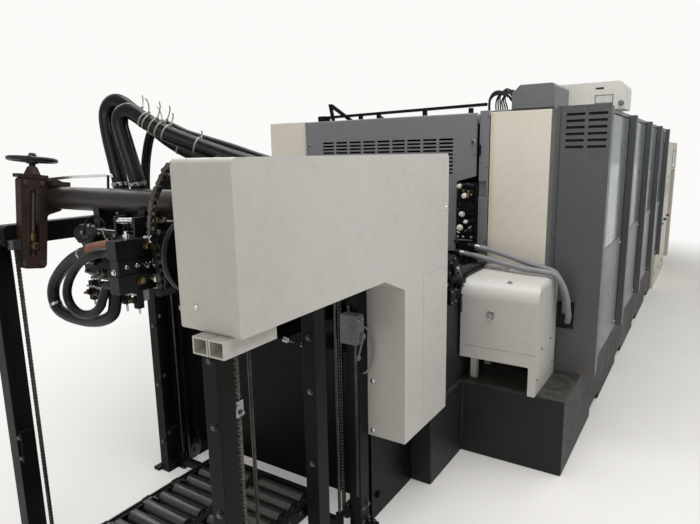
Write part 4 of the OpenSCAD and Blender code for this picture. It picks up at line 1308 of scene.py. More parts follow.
@dataclass
class RollerChain:
    """Roller chain laid along closed or open routes by Geometry Nodes."""

    pitch: float = 12.7
    plate_height: float = 11.6
    plate_thickness: float = 1.5
    inner_width: float = 7.6
    roller_diameter: float = 8.4

    def link(self, name: str, gap: float) -> Object:
        """Makes one link: two plates waisted between their pins, and a roller on a pin.

        Args:
            name: the link's name.
            gap: clear width between the plates, in millimetres.

        Returns:
            An object outside the scene whose mesh is the link, with its length along X.
        """
        half, waist = self.plate_height / 2, self.plate_height * 0.32
        outline: list[tuple[float, float]] = []
        for end, start in ((self.pitch / 2, -64), (-self.pitch / 2, 116)):
            for a in (math.radians(start + 32 * k) for k in range(5)):
                outline.append((end + half * math.cos(a), half * math.sin(a)))
            outline.append((0.0, waist if end > 0 else -waist))
        stock = Stock()
        for side in (-1, 1):
            stock.slab([(x, side * gap / 2, z) for x, z in outline], (0, side * self.plate_thickness, 0))
        reach = gap / 2 + self.plate_thickness + 0.7
        stock.turned((self.pitch / 2, -reach, 0), FAR, [(0, 2.0), (2 * reach, 2.0)], 6)
        r, wide = self.roller_diameter / 2, self.inner_width
        stock.turned((self.pitch / 2, -wide / 2, 0), FAR, [(0, r), (wide, r)], 8)
        return bpy.data.objects.new(name, stock.mesh(name))

    def tree(self, name: str) -> NodeTree:
        """Builds the tree that lays outer and inner links in turn along a curve.

        Args:
            name: the tree's name.

        Returns:
            The tree.
        """
        inputs = {"Pitch": ("NodeSocketFloat", self.pitch * MM), "Pins": ("NodeSocketVector", (0.0, 1.0, 0.0))}
        made = geometry_tree(name, inputs)
        start = node(made, "NodeGroupInput")
        sockets = {"Curve": start.outputs[0], "Length": start.outputs["Pitch"]}
        spots = node(made, "GeometryNodeCurveToPoints", {"mode": "LENGTH"}, sockets)
        odd = maths(made, "MODULO", node(made, "GeometryNodeInputIndex").outputs[0], 2.0)
        even = maths(made, "SUBTRACT", 1.0, odd)
        along = node(
            made, "FunctionNodeAlignRotationToVector", {"axis": "X"}, {"Vector": spots.outputs["Tangent"]}
        )
        sockets = {"Rotation": along.outputs[0], "Vector": start.outputs["Pins"]}
        across = node(made, "FunctionNodeAlignRotationToVector", {"axis": "Y", "pivot_axis": "X"}, sockets)
        whole = node(made, "GeometryNodeJoinGeometry")
        wide = self.inner_width + 2 * self.plate_thickness
        for label, gap, pick in (("outer", wide, odd), ("inner", self.inner_width, even)):
            shape = node(made, "GeometryNodeObjectInfo", Object=self.link(f"{name}_{label}_link", gap))
            sockets = {"Points": spots.outputs[0], "Selection": pick}
            sockets |= {"Instance": shape.outputs["Geometry"], "Rotation": across.outputs[0]}
            many = node(made, "GeometryNodeInstanceOnPoints", links=sockets)
            made.links.new(many.outputs[0], whole.inputs[0])
        end_tree(made, whole.outputs[0], CHAIN)
        return made

    def lay(self, name: str, route: list[Vector], closed: bool, pins: Point = (0.0, 1.0, 0.0)) -> Mesh:
        """Lays chain along a route, with a whole, even number of links.

        Args:
            name: the chain's name.
            route: its points, in millimetres.
            closed: whether the route closes on itself.
            pins: the direction of the pins.

        Returns:
            The links as one plain mesh.
        """
        curve = bpy.data.curves.new(name, "CURVE")
        curve.dimensions = "3D"
        line = curve.splines.new("POLY")
        line.points.add(len(route) - 1)
        for spot, point in zip(line.points, route):
            spot.co = (*(point * MM), 1.0)
        line.use_cyclic_u = closed
        long = route_length([*route, route[0]] if closed else route)
        pitch = long / (2 * round(long / self.pitch / 2)) * MM
        return grown(curve, self.tree(name + "_tree"), {"Pitch": pitch, "Pins": pins})


@dataclass
class PileLift:
    """Hoist chains, sprocket teeth, rods and switch of the pile lift, and the table's fittings."""

    chain_y: float = 430.0
    loops: tuple[tuple[float, int], ...] = ((-1667, -1), (-1077, -1), (-1077, 1))
    heights: tuple[float, float] = (60, 1060)
    sprocket_radius: float = 32.0
    teeth: int = 16
    drive_chain_x: float = -1755.0
    rail_face: float = -1107.0
    table_rear: float = -1743.0
    table_front: float = -1065.0
    table_half: float = 285.0
    roller_count: int = 9
    roller_z: float = 56.0

    def chains(self) -> None:
        """Lays all chains as one piece."""
        made = []
        for k, (x, side) in enumerate(self.loops):
            turns = [math.radians(12 * i) for i in range(16)]
            r, (low, high) = self.sprocket_radius, self.heights
            route = []
            for z, way in ((high, 1), (low, -1)):
                for a in turns:
                    route.append(
                        Vector((x + way * r * math.cos(a), side * self.chain_y, z + way * r * math.sin(a)))
                    )
            made.append(RollerChain().lay(f"hoist_loop_{k + 1}", route, True))
        strand = [Vector((self.drive_chain_x, self.chain_y, z)) for z in (16, 1108)]
        made.append(RollerChain().lay("hoist_strand", strand, False))
        heavy = RollerChain(
            pitch=22.0, plate_height=18.0, plate_thickness=2.2, inner_width=10.0, roller_diameter=12.0
        )
        made.append(heavy.lay("slack_chain", smooth_route(SLACK_ROUTE, 8), False, (1.0, 0.0, 0.0)))
        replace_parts(joined("hoist_chain_links", made, CHAIN, smooth=30.0), "hoist_chains")

    def sprocket_teeth(self) -> None:
        """Cuts the teeth of the sprockets and puts nuts on their shafts."""
        wheels, caps = Stock(), []
        for x, side in self.loops:
            for z in self.heights:
                rim = []
                for k in range(self.teeth):
                    for part, radius in ((-0.30, 26.5), (-0.14, 35.5), (0.14, 35.5), (0.30, 26.5)):
                        a = 2 * math.pi * (k + part) / self.teeth
                        rim.append(
                            (x + radius * math.cos(a), side * self.chain_y - 2.6, z + radius * math.sin(a))
                        )
                wheels.slab(rim, (0, 5.2, 0))
                caps.append(((x, side * (self.chain_y - 8), z), (0, -side, 0)))
        wheels.piece("sprocket_teeth", DULL_STEEL, smooth=20.0)
        nuts("sprocket_nuts", caps, 22, DULL_STEEL)

    def rails(self) -> None:
        """Adds the toothed strip on the front rail, chain joints, post bolts and the switch's fittings."""
        x = self.rail_face
        tooth = Stock().slab([(-5, -1.1, 0), (5, -1.1, 0), (5, 1.1, 0), (-5, 1.1, 0)], (0, 0, 1.8))
        spots = [Spot((x - 2.6, -494, 152 + 4.4 * k), TAIL, FAR) for k in range(146)]
        Repeat("rail_teeth", tooth, DULL_STEEL).place(spots)
        Stock().block((x - 2.8, -499.5, 148), (x, -488.5, 796), 0.4).piece("rail_strip", DULL_STEEL)
        joint = Stock()
        for side in (-1, 1):
            joint.block((-1664, -430 + side * 9.5 - 1.5, 680), (-1624, -430 + side * 9.5 + 1.5, 727), 0.8)
        joint.block((-1660, -437, 690), (-1640, -423, 718), 1)
        for px, z in ((-1653, 716), (-1635, 692)):
            joint.rod((px, -444, z), (px, -416, z), 8).nut((px, -444, z), NEAR, 13)
        joint.piece("chain_joint", STEEL)
        spots = []
        for post in (-1747, -1337, -1077):
            for side in (-1, 1):
                spots += [((post + 18 * side, -505, z), NEAR) for z in (40, 96, 1068, 1098)]
                spots.append(((post + 36 * side, -522, 14), UP))
        for z in (220, 470, 720, 900):
            spots += [((-1777, -484, z), TAIL), ((-1367, -484, z - 60), TAIL)]
        for z in (150, 420, 690, 960):
            spots += [((-1207, 476, z), TAIL), ((-1190, 455, z + 40), NEAR)]
        spots += [((-1792, 498, z), TAIL) for z in (350, 430)]
        spots += [((-1777, y, z), TAIL) for y in (480, -480) for z in (1138, 1172)]
        nuts("post_bolts", spots, 17, DULL_STEEL)
        arm = [((px, -505, 1155), NEAR) for px in (-1690, -1560, -1430, -1250, -1120)]
        arm += [((px, 505, 1155), FAR) for px in (-1650, -1500, -1350, -1200, -1050)]
        arm += [((px, y * 505, z), (0, y, 0)) for y in (-1, 1) for px in (-980, -740) for z in (90, 700, 1290)]
        nuts("frame_bolts", arm, 26, BLACK)
        switch = Stock().block((-1151, -530, 764), (-1109, -527, 851), 1.0)
        switch.turned((-1107, -516, 806), FORE, [(-1, 8), (6, 8), (7, 6.4), (12, 5.6)], 10)
        switch.turned((-1107, -470, 848), (-0.3, 0, 1), [(0, 4), (36, 4), (38, 2)], 8)
        switch.rod((-1129, -543, 785), (-1129, -539, 785), 20, 16)
        switch.slab([(-1133, -541, 785), (-1125, -541, 785), (-1162, -541, 716), (-1170, -541, 720)], (0, 3, 0))
        switch.rod((-1166, -546, 719), (-1166, -536, 719), 18, 16)
        switch.piece("switch_fittings", SWITCH)
        Head.DOMED.on(
            "switch_screws", [((px, -530, z), NEAR) for px in (-1146, -1114) for z in (770, 845)], 6, STEEL
        )

    def linkage(self) -> None:
        """Adds the thin lever and pulling rods at the posts."""
        lever = Stock().rod((-1441, -452, 850), (-1356, -452, 808), 7)
        lever.rod((-1441, -460, 850), (-1441, -444, 850), 18)
        lever.rod((-1354, -462, 807), (-1354, -444, 807), 16).rod((-1354, -500, 807), (-1354, -448, 807), 9)
        lever.piece("post_lever", STEEL)
        rods = Stock()
        for x, y in ((-1790, 520), (-1722, -448), (-1312, -448)):
            rods.rod((x, y, 12), (x, y, 1120), 5, 8)
        rods.piece("thin_rods", OILED_ROD)

    def table(self) -> None:
        """Adds bolts, corner hinges and a side rail to the pile table, which ride with it."""
        step = (self.table_front - self.table_rear - 120) / (self.roller_count - 1)
        xs = [self.table_rear + 60 + k * step for k in range(self.roller_count)]
        spots = [((x, side * self.table_half, self.roller_z), (0, side, 0)) for x in xs for side in (-1, 1)]
        spots += [((self.table_rear, y, 44), TAIL) for y in (-262, -8, 8, 262)]
        nuts("table_bolts", spots, 14, DULL_STEEL, "pile_table")
        rings = Stock()
        for x in xs:
            for side in (-1, 1):
                for near, far in ((28, 36), (230, 238)):
                    wide = far - near
                    profile = [(0, 28.6), (0.5, 29.6), (wide - 0.5, 29.6), (wide, 28.6)]
                    rings.turned((x, side * near, self.roller_z), (0, side, 0), profile, 24)
        rings.piece("roller_rings", DULL_STEEL, "pile_table")
        trim = Stock().rod((self.table_rear + 4, 279, 77), (self.table_front - 4, 279, 77), 8)
        for x in (-1462, -1318, -1650):
            trim.block((x - 22, 258, 73), (x + 22, 282, 77), 0.8).rod((x - 16, 279, 81), (x + 16, 279, 81), 7)
            trim.block((x - 26, 232, 72), (x - 18, 262, 80), 0.8)
            trim.block((x + 18, 232, 72), (x + 26, 262, 80), 0.8)
        trim.piece("table_trim", DULL_STEEL, "pile_table")

    def dress(self) -> None:
        """Builds the pile lift's pieces."""
        softened("guide_rods", OILED_ROD, 1.0)
        softened("hoist_sprockets", DULL_STEEL, 1.0)
        softened("pile_switch", SWITCH, 3.0)
        softened("pile_table", BLACK, 1.5, "pile_table", 1)
        softened("table_rollers", ROLLER, 1.5, "pile_table")
        self.chains()
        self.sprocket_teeth()
        self.rails()
        self.linkage()
        self.table()


@dataclass
class FeederBody:
    """Frames, beams, cover and tail disc of the feeder."""

    end_x: float = -1840.0
    leg_x: float = -1043.0
    side_y: float = -655.0
    cheek_y: float = -578.0

    def dress(self) -> None:
        """Builds the cover with its screws, the frames and the feed board's tapes."""
        softened("feeder_cover", CREAM, 5.0, segments=3)
        for name in ("feeder_frames", "feeder_posts"):
            softened(name, BLACK, 2.0)
        softened("feeder_cross_beams", BLACK, 1.5)
        spots = [((self.end_x, -519, 1059), TAIL), ((self.leg_x, -523, 588), TAIL)]
        spots += [((self.leg_x, -522, 394), TAIL), ((-697, self.side_y, 1194), NEAR)]
        Head.DOMED.on("cover_screws", spots, 17, CHROME)
        ends = Stock()
        for y in (-608, -557):
            ends.turned((-1752, y, 997), DOWN, [(0, 8), (3, 8), (4, 6), (4, 0)], 12)
        ends.piece("channel_screws", STEEL)
        profile = [(0, 104), (1.2, 105.6), (3, 105.6), (3.4, 98), (2.4, 92), (2.4, 30)]
        disc = Stock().turned((-1722, -397.5, 1158), FAR, profile, 44)
        disc.nut((-1722, -385, 1158), FAR, 34)
        disc.piece("tail_disc_rim", DULL_STEEL)
        ring = [k * math.pi / 3 for k in range(6)]
        spots = [((-1722 + 62 * math.cos(a), -398, 1158 + 62 * math.sin(a)), FAR) for a in ring]
        Head.SOCKET.on("tail_disc_screws", spots, 10, STEEL)
        spots = [((x, -458, z), FAR) for x in (-1425, -1295) for z in (1202, 1380)]
        Head.SOCKET.on("junction_screws", spots, 9, STEEL)
        hook = Stock().turned((-1680, -290, 1384), NEAR, [(-4, 7), (0, 12), (4, 12), (5, 9.4)], 14)
        hook.turned((-1680, -458, 1384), FAR, [(0, 20), (3, 20), (4, 12), (16, 12), (17, 9.4)], 16)
        hook.piece("chain_hook_collars", DULL_STEEL)
        self.infeed_side()
        self.feed_tapes()

    def infeed_side(self) -> None:
        """Mounts round drive covers, a valve block and their links on the infeed's side frame."""
        y = self.cheek_y
        dark, bright = Stock(), Stock()
        dark.turned((-486, y, 914), NEAR, [(-1, 60), (22, 60), (26, 56), (26, 30), (40, 30), (42, 26)], 36)
        dark.turned((-396, y, 822), NEAR, [(-1, 34), (16, 34), (18, 31), (18, 18), (30, 16)], 28)
        dark.block((-560, y - 46, 770), (-500, y + 1, 838), 3).block((-455, y - 30, 770), (-425, y + 1, 800), 2)
        dark.block((-640, y - 34, 840), (-580, y + 1, 960), 3)
        dark.sweep(
            smooth_route(
                [
                    (-530, y - 24, 837), (-528, y - 32, 862), (-502, y - 58, 874), (-452, y - 60, 862),
                    (-414, y - 46, 846), (-396, y - 26, 836),
                ],
                6,
            ),
            8, 10,
        )
        bright.rod((-486, y - 47, 914), (-396, y - 36, 822), 8).nut((-486, y - 41, 914), NEAR, 22, 10)
        bright.nut((-396, y - 29, 822), NEAR, 17, 9)
        for k in range(6):
            turn = math.radians(60 * k + 15)
            bright.nut((-486 + 44 * math.cos(turn), y - 25, 914 + 44 * math.sin(turn)), NEAR, 9, 5)
        for x, z in ((-550, 780), (-510, 780), (-550, 828), (-510, 828)):
            bright.nut((x, y - 45.5, z), NEAR, 8, 5)
        bright.rod((-440, y - 30, 786), (-440, y - 52, 790), 10)
        bright.rod((-612, y - 34, 870), (-612, y - 52, 868), 14)
        dark.piece("infeed_drive_covers", BLACK)
        bright.piece("infeed_drive_links", STEEL)

    def feed_tapes(self) -> None:
        """Runs the transport tapes and their hold-down wheels over the feed board."""
        high, low = Vector((-893, 0, 1070)), Vector((-150, 0, 880))
        tapes, wheels, bars = Stock(), Stock(), Stock()
        normal = (low - high).cross(Vector(FAR)).normalized()
        normal = normal if normal.z > 0 else -normal
        for y in (-300, -150, 0, 150, 300):
            shift = Vector((0, y, 0))
            tapes.strap([p + shift + normal * 1.2 for p in (high, high.lerp(low, 0.5), low)], FAR, 25, 1.6)
            for t in (0.3, 0.72):
                seat = high.lerp(low, t) + shift + normal * 18
                wheels.turned(tuple(seat - Vector((0, 8, 0))), FAR, [(0, 13), (1, 15), (15, 15), (16, 13)], 20)
                bars.rod(tuple(seat - Vector((0, 12, 0))), tuple(seat + Vector((0, 12, 0))), 8)
                bars.rod(tuple(seat + Vector((0, 11, 0))), tuple(seat + normal * 26 + Vector((0, 11, 0))), 7)
        for t in (0.3, 0.72):
            seat = high.lerp(low, t) + normal * 44
            bars.rod(tuple(seat - Vector((0, 404, 0))), tuple(seat + Vector((0, 404, 0))), 14)
            for side in (-1, 1):
                bars.rod(
                    tuple(seat + Vector((0, side * 396, 4))),
                    tuple(seat + Vector((0, side * 404, 0)) - normal * 44), 16,
                )
        tapes.piece("feed_tapes", WEB)
        wheels.piece("hold_down_wheels", RUBBER)
        bars.piece("hold_down_bars", STEEL)


@dataclass
class SuckerHead:
    """Suction head, its tube, the slotted bracket and the handwheel."""

    pivot: Point = (-1607, 0, 1272)
    lean: float = math.radians(7)
    spindle_u: float = -70.0
    wheel_w: float = 124.0
    spindle_y: float = 438.0
    face_x: float = -1667.0
    top_z: float = 1190.0

    def leant(self, u: float, y: float, w: float) -> Vector:
        """Turns a place in the bracket's leaning frame into the press's frame.

        Args:
            u: distance along the leaning X.
            y: distance across.
            w: distance along the leaning Z.

        Returns:
            The place.
        """
        c, s = math.cos(self.lean), math.sin(self.lean)
        return Vector((self.pivot[0] + u * c + w * s, y, self.pivot[2] - u * s + w * c))

    def wheel(self) -> None:
        """Builds the handwheel: a round rim, three bowed spokes and a hub with its nut."""
        hub = self.leant(self.spindle_u, self.spindle_y, self.wheel_w)
        axis = (self.leant(0, 0, 1) - self.leant(0, 0, 0)).normalized()
        u = Vector(FAR)
        v = axis.cross(u)
        stock = Stock()
        turns = [2 * math.pi * k / 48 for k in range(48)]
        stock.sweep([hub + 71 * (math.cos(a) * u + math.sin(a) * v) for a in turns], 7.6, 12, True)
        stock.turned(
            tuple(hub - axis * 14), tuple(axis), [(0, 17), (2, 19.6), (20, 19.6), (24, 15), (28, 12)], 24
        )
        for a in (math.radians(t) for t in (30, 150, 270)):
            out = math.cos(a) * u + math.sin(a) * v
            spoke = [hub - axis * back + out * reach for back, reach in ((4, 12), (5, 30), (3, 50), (0, 70))]
            stock.sweep(spoke, [7.0, 5.6, 5.0, 5.6], 10)
        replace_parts(stock.piece("handwheel_rim", PLASTIC, "wheel", 60.0), "handwheel")
        cap = Stock().nut(tuple(hub + axis * 14), tuple(axis), 22, 8)
        cap.piece("handwheel_nut", DULL_STEEL, "wheel")

    def bracket(self) -> None:
        """Adds the spindle's thread, its nut in the slot, bolts and the light bar above the tube."""
        y = self.spindle_y
        spindle, seat = Stock(), Stock()
        for low, high, turns in ((-208, 26, 52), (98, 108, 2)):
            ends = [tuple(self.leant(self.spindle_u, y, w)) for w in (low, high)]
            spindle.spring(*ends, 9.6, 2.6, turns)
        spindle.piece("spindle_thread", DULL_STEEL, smooth=60.0)
        axis = tuple(self.leant(0, 0, 1) - self.leant(0, 0, 0))
        seat.turned(
            tuple(self.leant(self.spindle_u, y, -150)), axis, [(0, 13), (1, 14.6), (25, 14.6), (26, 13)], 20
        )
        seat.nut(tuple(self.leant(self.spindle_u, 421, -168)), NEAR, 22)
        seat.piece("spindle_nut", BRASS)
        places = ((-100, 44), (-44, 44), (-104, -226), (-44, -226))
        nuts("bracket_bolts", [(tuple(self.leant(u, 421, w)), NEAR) for u, w in places], 16, DULL_STEEL)
        bar = [
            Vector(p) for p in ((-1634, 420, 1336), (-1618, 300, 1344), (-1600, 120, 1350), (-1597, 96, 1349))
        ]
        Stock().strap(bar, (-0.3, 0, 1), 9, 4).piece("light_bar", CHROME)
        posts = Stock().rod((-1612, 410, 1308), (-1630, 410, 1340), 9)
        posts.rod((-1604, 118, 1309), (-1600, 118, 1350), 8)
        posts.piece("light_bar_posts", BLACK)

    def fittings(self) -> None:
        """Adds the springs, valves, nipples, plates and screws on the head's face."""
        x, z1 = self.face_x, self.top_z
        dark, bright, brass = Stock(), Stock(), Stock()
        ribs = [(0.0, 8.0)]
        for k in range(14):
            ribs += [(1.5 + 6 * k, 13.0), (4.5 + 6 * k, 13.0), (5.0 + 6 * k, 11.0), (7.0 + 6 * k, 11.0)]
        dark.turned((x - 23, 76, 1154), FAR, [*ribs, (87, 8)], 18)
        dark.block((x - 34, 100, 1138), (x + 2, 140, 1170), 2)
        bright.rod((x - 23, -31, 1222), (x - 23, -126, 1226), 7)
        bright.spring((x - 23, -40, 1222), (x - 23, -108, 1225), 8, 1.8, 13)
        for y in (-36, -122):
            dark.block((x - 32, y - 5, z1 - 12), (x + 6, y + 5, 1236), 1.5)
        profile = [(0, 9), (1, 10), (18, 10), (19, 12), (24, 12), (25, 9), (31, 9)]
        bright.turned((x - 23, -160, 1178), NEAR, profile, 16)
        brass.nut((x - 23, -160, 1156), NEAR, 20, 13)
        bright.turned((x - 23, -160, 1066), NEAR, [(0, 8), (1, 9), (26, 9), (27, 13), (36, 13), (37, 10)], 14)
        brass.nut((x - 50, -160, 1060), NEAR, 19, 12)
        brass.nut((x - 78, -117.7, 1144), FAR, 30, 9)
        dark.block((x - 118, -157, 1081), (x + 1, -121, 1129), 3)
        for px in (-26, -58, -92):
            bright.turned((x + px, -157, 1105), NEAR, [(-1, 6), (3, 6), (4, 4.5), (8, 4.5)], 10)
        bright.nut((x - 118, -139, 1092), TAIL, 14).rod((x - 40, -158, 1106), (x - 40, -184, 1100), 8)
        bright.turned((x - 70, -139, 1180), UP, [(-1, 8), (6, 8), (7, 10), (13, 10), (14, 6), (22, 5)], 12)
        for k, y in enumerate((-52, 8, 66, 124, 176)):
            dark.block((x + 3, y - 11, 948 + 7 * (k % 2)), (x + 27, y + 11, 1013), 2)
            dark.block((x - 9, y - 7, 968), (x + 5, y + 7, 986), 1.5)
            brass.turned((x - 9, y, 977), TAIL, [(-1, 5.5), (4, 5.5), (5, 4), (11, 4)], 10)
            bright.rod((x + 15, y, 930), (x + 15, y, 952), 7)
        bright.rod((x - 2, -64, 996), (x - 2, 186, 996), 8)
        for y0, y1, turns in ((-40, -2, 9), (78, 112, 8)):
            bright.spring((x - 2, y0, 996), (x - 2, y1, 996), 6.4, 1.6, turns)
        for y, z in ((-100, 1040), (-84, 1104), (-20, 1030), (134, 1030), (180, 1148), (-176, 1020)):
            bright.block((x - 14, y - 5, z - 4), (x + 1, y + 9, z + 4), 0.8)
        bright.block((x - 26, -40, z1 + 0.2), (x + 30, 62, z1 + 3.4), 0.8)
        bright.block((x - 28, -96, 1120), (x - 1, -60, 1126), 0.6)
        for y, z, r in (
            (-150, 1108, 7.5), (-172, 1098, 6), (-40, 1090, 6.5), (20, 1040, 7.5), (60, 1120, 6), (150, 1080, 7)
        ):
            bright.turned((x - 0.5, y, z), TAIL, [(-1, r + 2), (3, r + 2), (4, r), (14, r), (15, r - 1.5)], 14)
        for y, z in ((-8, 1150), (28, 1160), (-70, 1064), (96, 1052), (168, 1120)):
            brass.turned(
                (x, y, z), TAIL, [(-1, 6), (5, 6), (6, 4.4), (14, 4.4), (15, 5.6), (18, 5.6), (19, 3)], 10
            )
        for y in (-60, 60, 130):
            dark.block((x - 16, y - 14, 1092), (x + 2, y + 14, 1112), 2)
        for y, z in ((-30, 1120), (110, 1096)):
            dark.block((x - 30, y - 18, z - 14), (x + 2, y + 18, z + 14), 3)
            bright.rod((x - 44, y, z + 4), (x - 28, y, z + 4), 9)
        dark.block((-1640, -150, z1 - 2), (-1560, -60, 1214), 3)
        dark.block((-1590, -20, z1 - 2), (-1510, 10, 1216), 3)
        for y in (-136, -106, -76):
            brass.turned((-1600, y, 1214), UP, [(-1, 7), (5, 7), (6, 5), (12, 5)], 10)
        bright.rod((-1500, -330, 1060), (-1500, -360, 1060), 16).rod((-1497, 330, 1060), (-1497, 360, 1060), 16)
        for side in (-1, 1):
            dark.turned((-1497, side * 300, 1060), (0, side, 0), [(0, 22), (2, 24), (14, 24), (16, 22)], 20)
            bright.rod((-1497, side * 90, 1190), (-1497, side * 90, 1228), 14)
            bright.turned((-1497, side * 90, 1228), UP, [(0, 9), (3, 11), (12, 11), (14, 8)], 14)
        dark.piece("head_valves", HEAD)
        bright.piece("head_bright_parts", CHROME)
        brass.piece("head_nipples", BRASS)
        spots = [((x, y, 1046), TAIL) for y in (-178, -110, 10, 90, 178)]
        spots += [((x, y, 1172), TAIL) for y in (-178, 10, 90, 178)]
        spots += [
            ((px, side * 190, z), (0, side, 0))
            for side in (-1, 1)
            for px in (-1640, -1490)
            for z in (1040, 1120)
        ]
        spots += [((px, y, z1), UP) for px in (-1650, -1480) for y in (-170, 170)]
        Head.SOCKET.on("head_screws", spots, 12, STEEL)
        wire = Stock()
        route = [
            (x - 26, -20, 1118), (x - 30, -22, 1090), (x - 28, -26, 1050), (x - 24, -30, 1022),
            (x - 4, -34, 1012),
        ]
        wire.sweep(smooth_route(route, 6), 1.3, 6)
        route = [
            (x - 2, 44, 1186), (x - 20, 40, 1196), (x - 34, 20, 1180), (x - 30, 2, 1150), (x - 2, -4, 1138)
        ]
        wire.sweep(smooth_route(route, 6), 1.2, 6)
        wire.piece("stiff_wires", NYLON)

    def dress(self) -> None:
        """Builds the head's pieces."""
        softened("tube_bracket", RUST, 3.0)
        softened("suction_head", HEAD, 3.0)
        softened("sucker_feet", STEEL, 1.0)
        softened("head_tube", TUBE, 1.0)
        self.wheel()
        self.bracket()
        self.fittings()
        cups = Stock()
        for y in (-230, -90, 90, 230):
            cups.turned(
                (-1497, y, 958), UP, [(0, 17.6), (2, 18.4), (5, 15), (8, 16.4), (11, 13), (14, 12.4)], 20
            )
        cups.piece("sucker_cups", RUBBER)


@dataclass
class DamperCorner:
    """Damper drive beside the guard: knobs, valves, brass taps and levers."""

    face: float = -20.0
    knobs: tuple[tuple[float, float, float], ...] = (
        (-446, 1238, 24), (-474, 1190, 30), (-462, 1100, 30), (-482, 1062, 20), (-452, 1030, 32),
    )
    # Distance from the face, share of the radius and depth of the flutes
    profile: tuple[tuple[float, float, float], ...] = (
        (-0.4, 0.6, 0.0), (-17, 0.6, 0.0), (-17.2, 1.0, 0.0), (-21, 1.0, 0.0), (-22, 0.9, 0.07),
        (-34, 0.84, 0.07), (-37, 0.7, 0.03), (-38, 0.4, 0.0),
    )
    flutes: int = 12

    def knob(self, stock: Stock, y: float, z: float, diameter: float) -> None:
        """Turns one fluted knob with a skirt and a rounded cap.

        Args:
            stock: the stock that gets it.
            y: its middle across the press.
            z: its height.
            diameter: its diameter.
        """
        r = diameter / 2
        rows = []
        for at, scale, depth in self.profile:
            ring = []
            for k in range(4 * self.flutes):
                a = 2 * math.pi * k / (4 * self.flutes)
                size = r * scale * (1 - depth * (1 + math.cos(self.flutes * a)) / 2)
                ring.append(Vector((self.face + at, y + size * math.cos(a), z + size * math.sin(a))))
            rows.append(ring)
        stock.skin(rows)

    def dress(self) -> None:
        """Builds the corner's pieces."""
        softened("damper_drive", BLACK, 2.0)
        white = Stock()
        for y, z, d in self.knobs:
            self.knob(white, y, z, d)
        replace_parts(white.piece("fluted_knobs", WHITE_KNOB, smooth=50.0), "damper_knobs")
        x = self.face
        brass, dark, bright = Stock(), Stock(), Stock()
        brass.rod((x - 26, -510, 1196), (x - 26, -480, 1196), 7)
        brass.rod((x - 26, -494, 1182), (x - 26, -494, 1214), 7)
        brass.rod((x, -494, 1196), (x - 30, -494, 1196), 8)
        brass.nut((x - 26, -494, 1212), UP, 12, 7).nut((x - 26, -508, 1196), NEAR, 12, 7)
        brass.turned((x, -466, 1216), TAIL, [(0, 5), (14, 5), (15, 7), (22, 7), (23, 4)], 10)
        dark.turned((x, -452, 1150), TAIL, [(0, 12), (18, 12), (19, 9), (26, 9)], 16)
        for y, z, r in ((-436, 960, 15), (-500, 1020, 13), (-440, 1120, 10), (-510, 1240, 8)):
            dark.turned((x, y, z), TAIL, [(0, r), (12, r), (13, r - 2), (26, r - 2), (28, r - 4)], 16)
        for z in (1066, 1104, 1142, 1210):
            dark.block((x - 8, -516, z - 8), (x, -484, z + 8), 1.5)
        bright.rod((x - 12, -516, 968), (x - 12, -440, 968), 9)
        bright.rod((x - 20, -476, 1010), (x - 20, -510, 1040), 6)
        bright.block((x - 22, -452, 1002), (x - 12, -438, 1010), 0.8)
        for y, z in ((-512, 985), (-470, 985), (-442, 985), (-512, 900), (-442, 900)):
            bright.turned(
                (x - 16, y, z), TAIL, [(0, 5.5), (5, 5.5), (5.6, 4.6), (5.6, 2.6), (3, 2.4), (3, 0)], 10
            )
        dark.sweep(
            smooth_route(
                [
                    (x, -508, 1232), (x - 18, -506, 1244), (x - 26, -488, 1248), (x - 22, -462, 1242),
                    (x, -446, 1222),
                ],
                5,
            ),
            4, 8,
        )
        brass.piece("corner_taps", BRASS)
        dark.piece("corner_valves", PLASTIC)
        bright.piece("corner_bright_parts", CHROME)


@dataclass
class FloorCabinet:
    """Cream cabinet beside the infeed."""

    front_x: float = -361.0
    side_y: float = -935.0
    top_z: float = 840.0

    def dress(self) -> None:
        """Builds the cabinet with its pull, screws, lid plate and rubber edge."""
        softened("floor_cabinet", CREAM, 4.0, segments=3)
        x = self.front_x
        pull = Stock().block((x - 1.5, -748, 701), (x, -715, 711), 0.6)
        for y in (-744, -719):
            pull.rod((x - 1, y, 706), (x - 12, y, 706), 9)
        route = [
            (x - 9, -744, 708), (x - 9, -744, 690), (x - 8, -738, 677), (x - 8, -731.5, 673), (x - 8, -725, 677)
        ]
        pull.sweep(smooth_route([*route, (x - 9, -719, 690), (x - 9, -719, 708)], 4), 3.4, 10)
        pull.piece("cabinet_pull", STEEL)
        places = ((-121, 552), (-278, 549), (-330, 420), (-60, 420))
        spots = [((px, self.side_y, z), NEAR) for px, z in places] + [((-308, -795, self.top_z), UP)]
        Head.DOMED.on("cabinet_screws", spots, 12, DULL_STEEL)
        plate = Stock().block((-314, -806, self.top_z - 0.4), (-302, -784, self.top_z + 0.9), 0.4)
        plate.piece("cabinet_lid_plate", STEEL)
        route = [(x + 2, -592, 690), (x + 2, -591, 750), (x + 26, -590, 812), (x + 82, -590, 843)]
        edge = Stock().sweep(smooth_route([*route, (-240, -590, 845), (-66, -590, 845)], 10), 6, 8)
        edge.piece("cabinet_edge_seal", RUBBER)


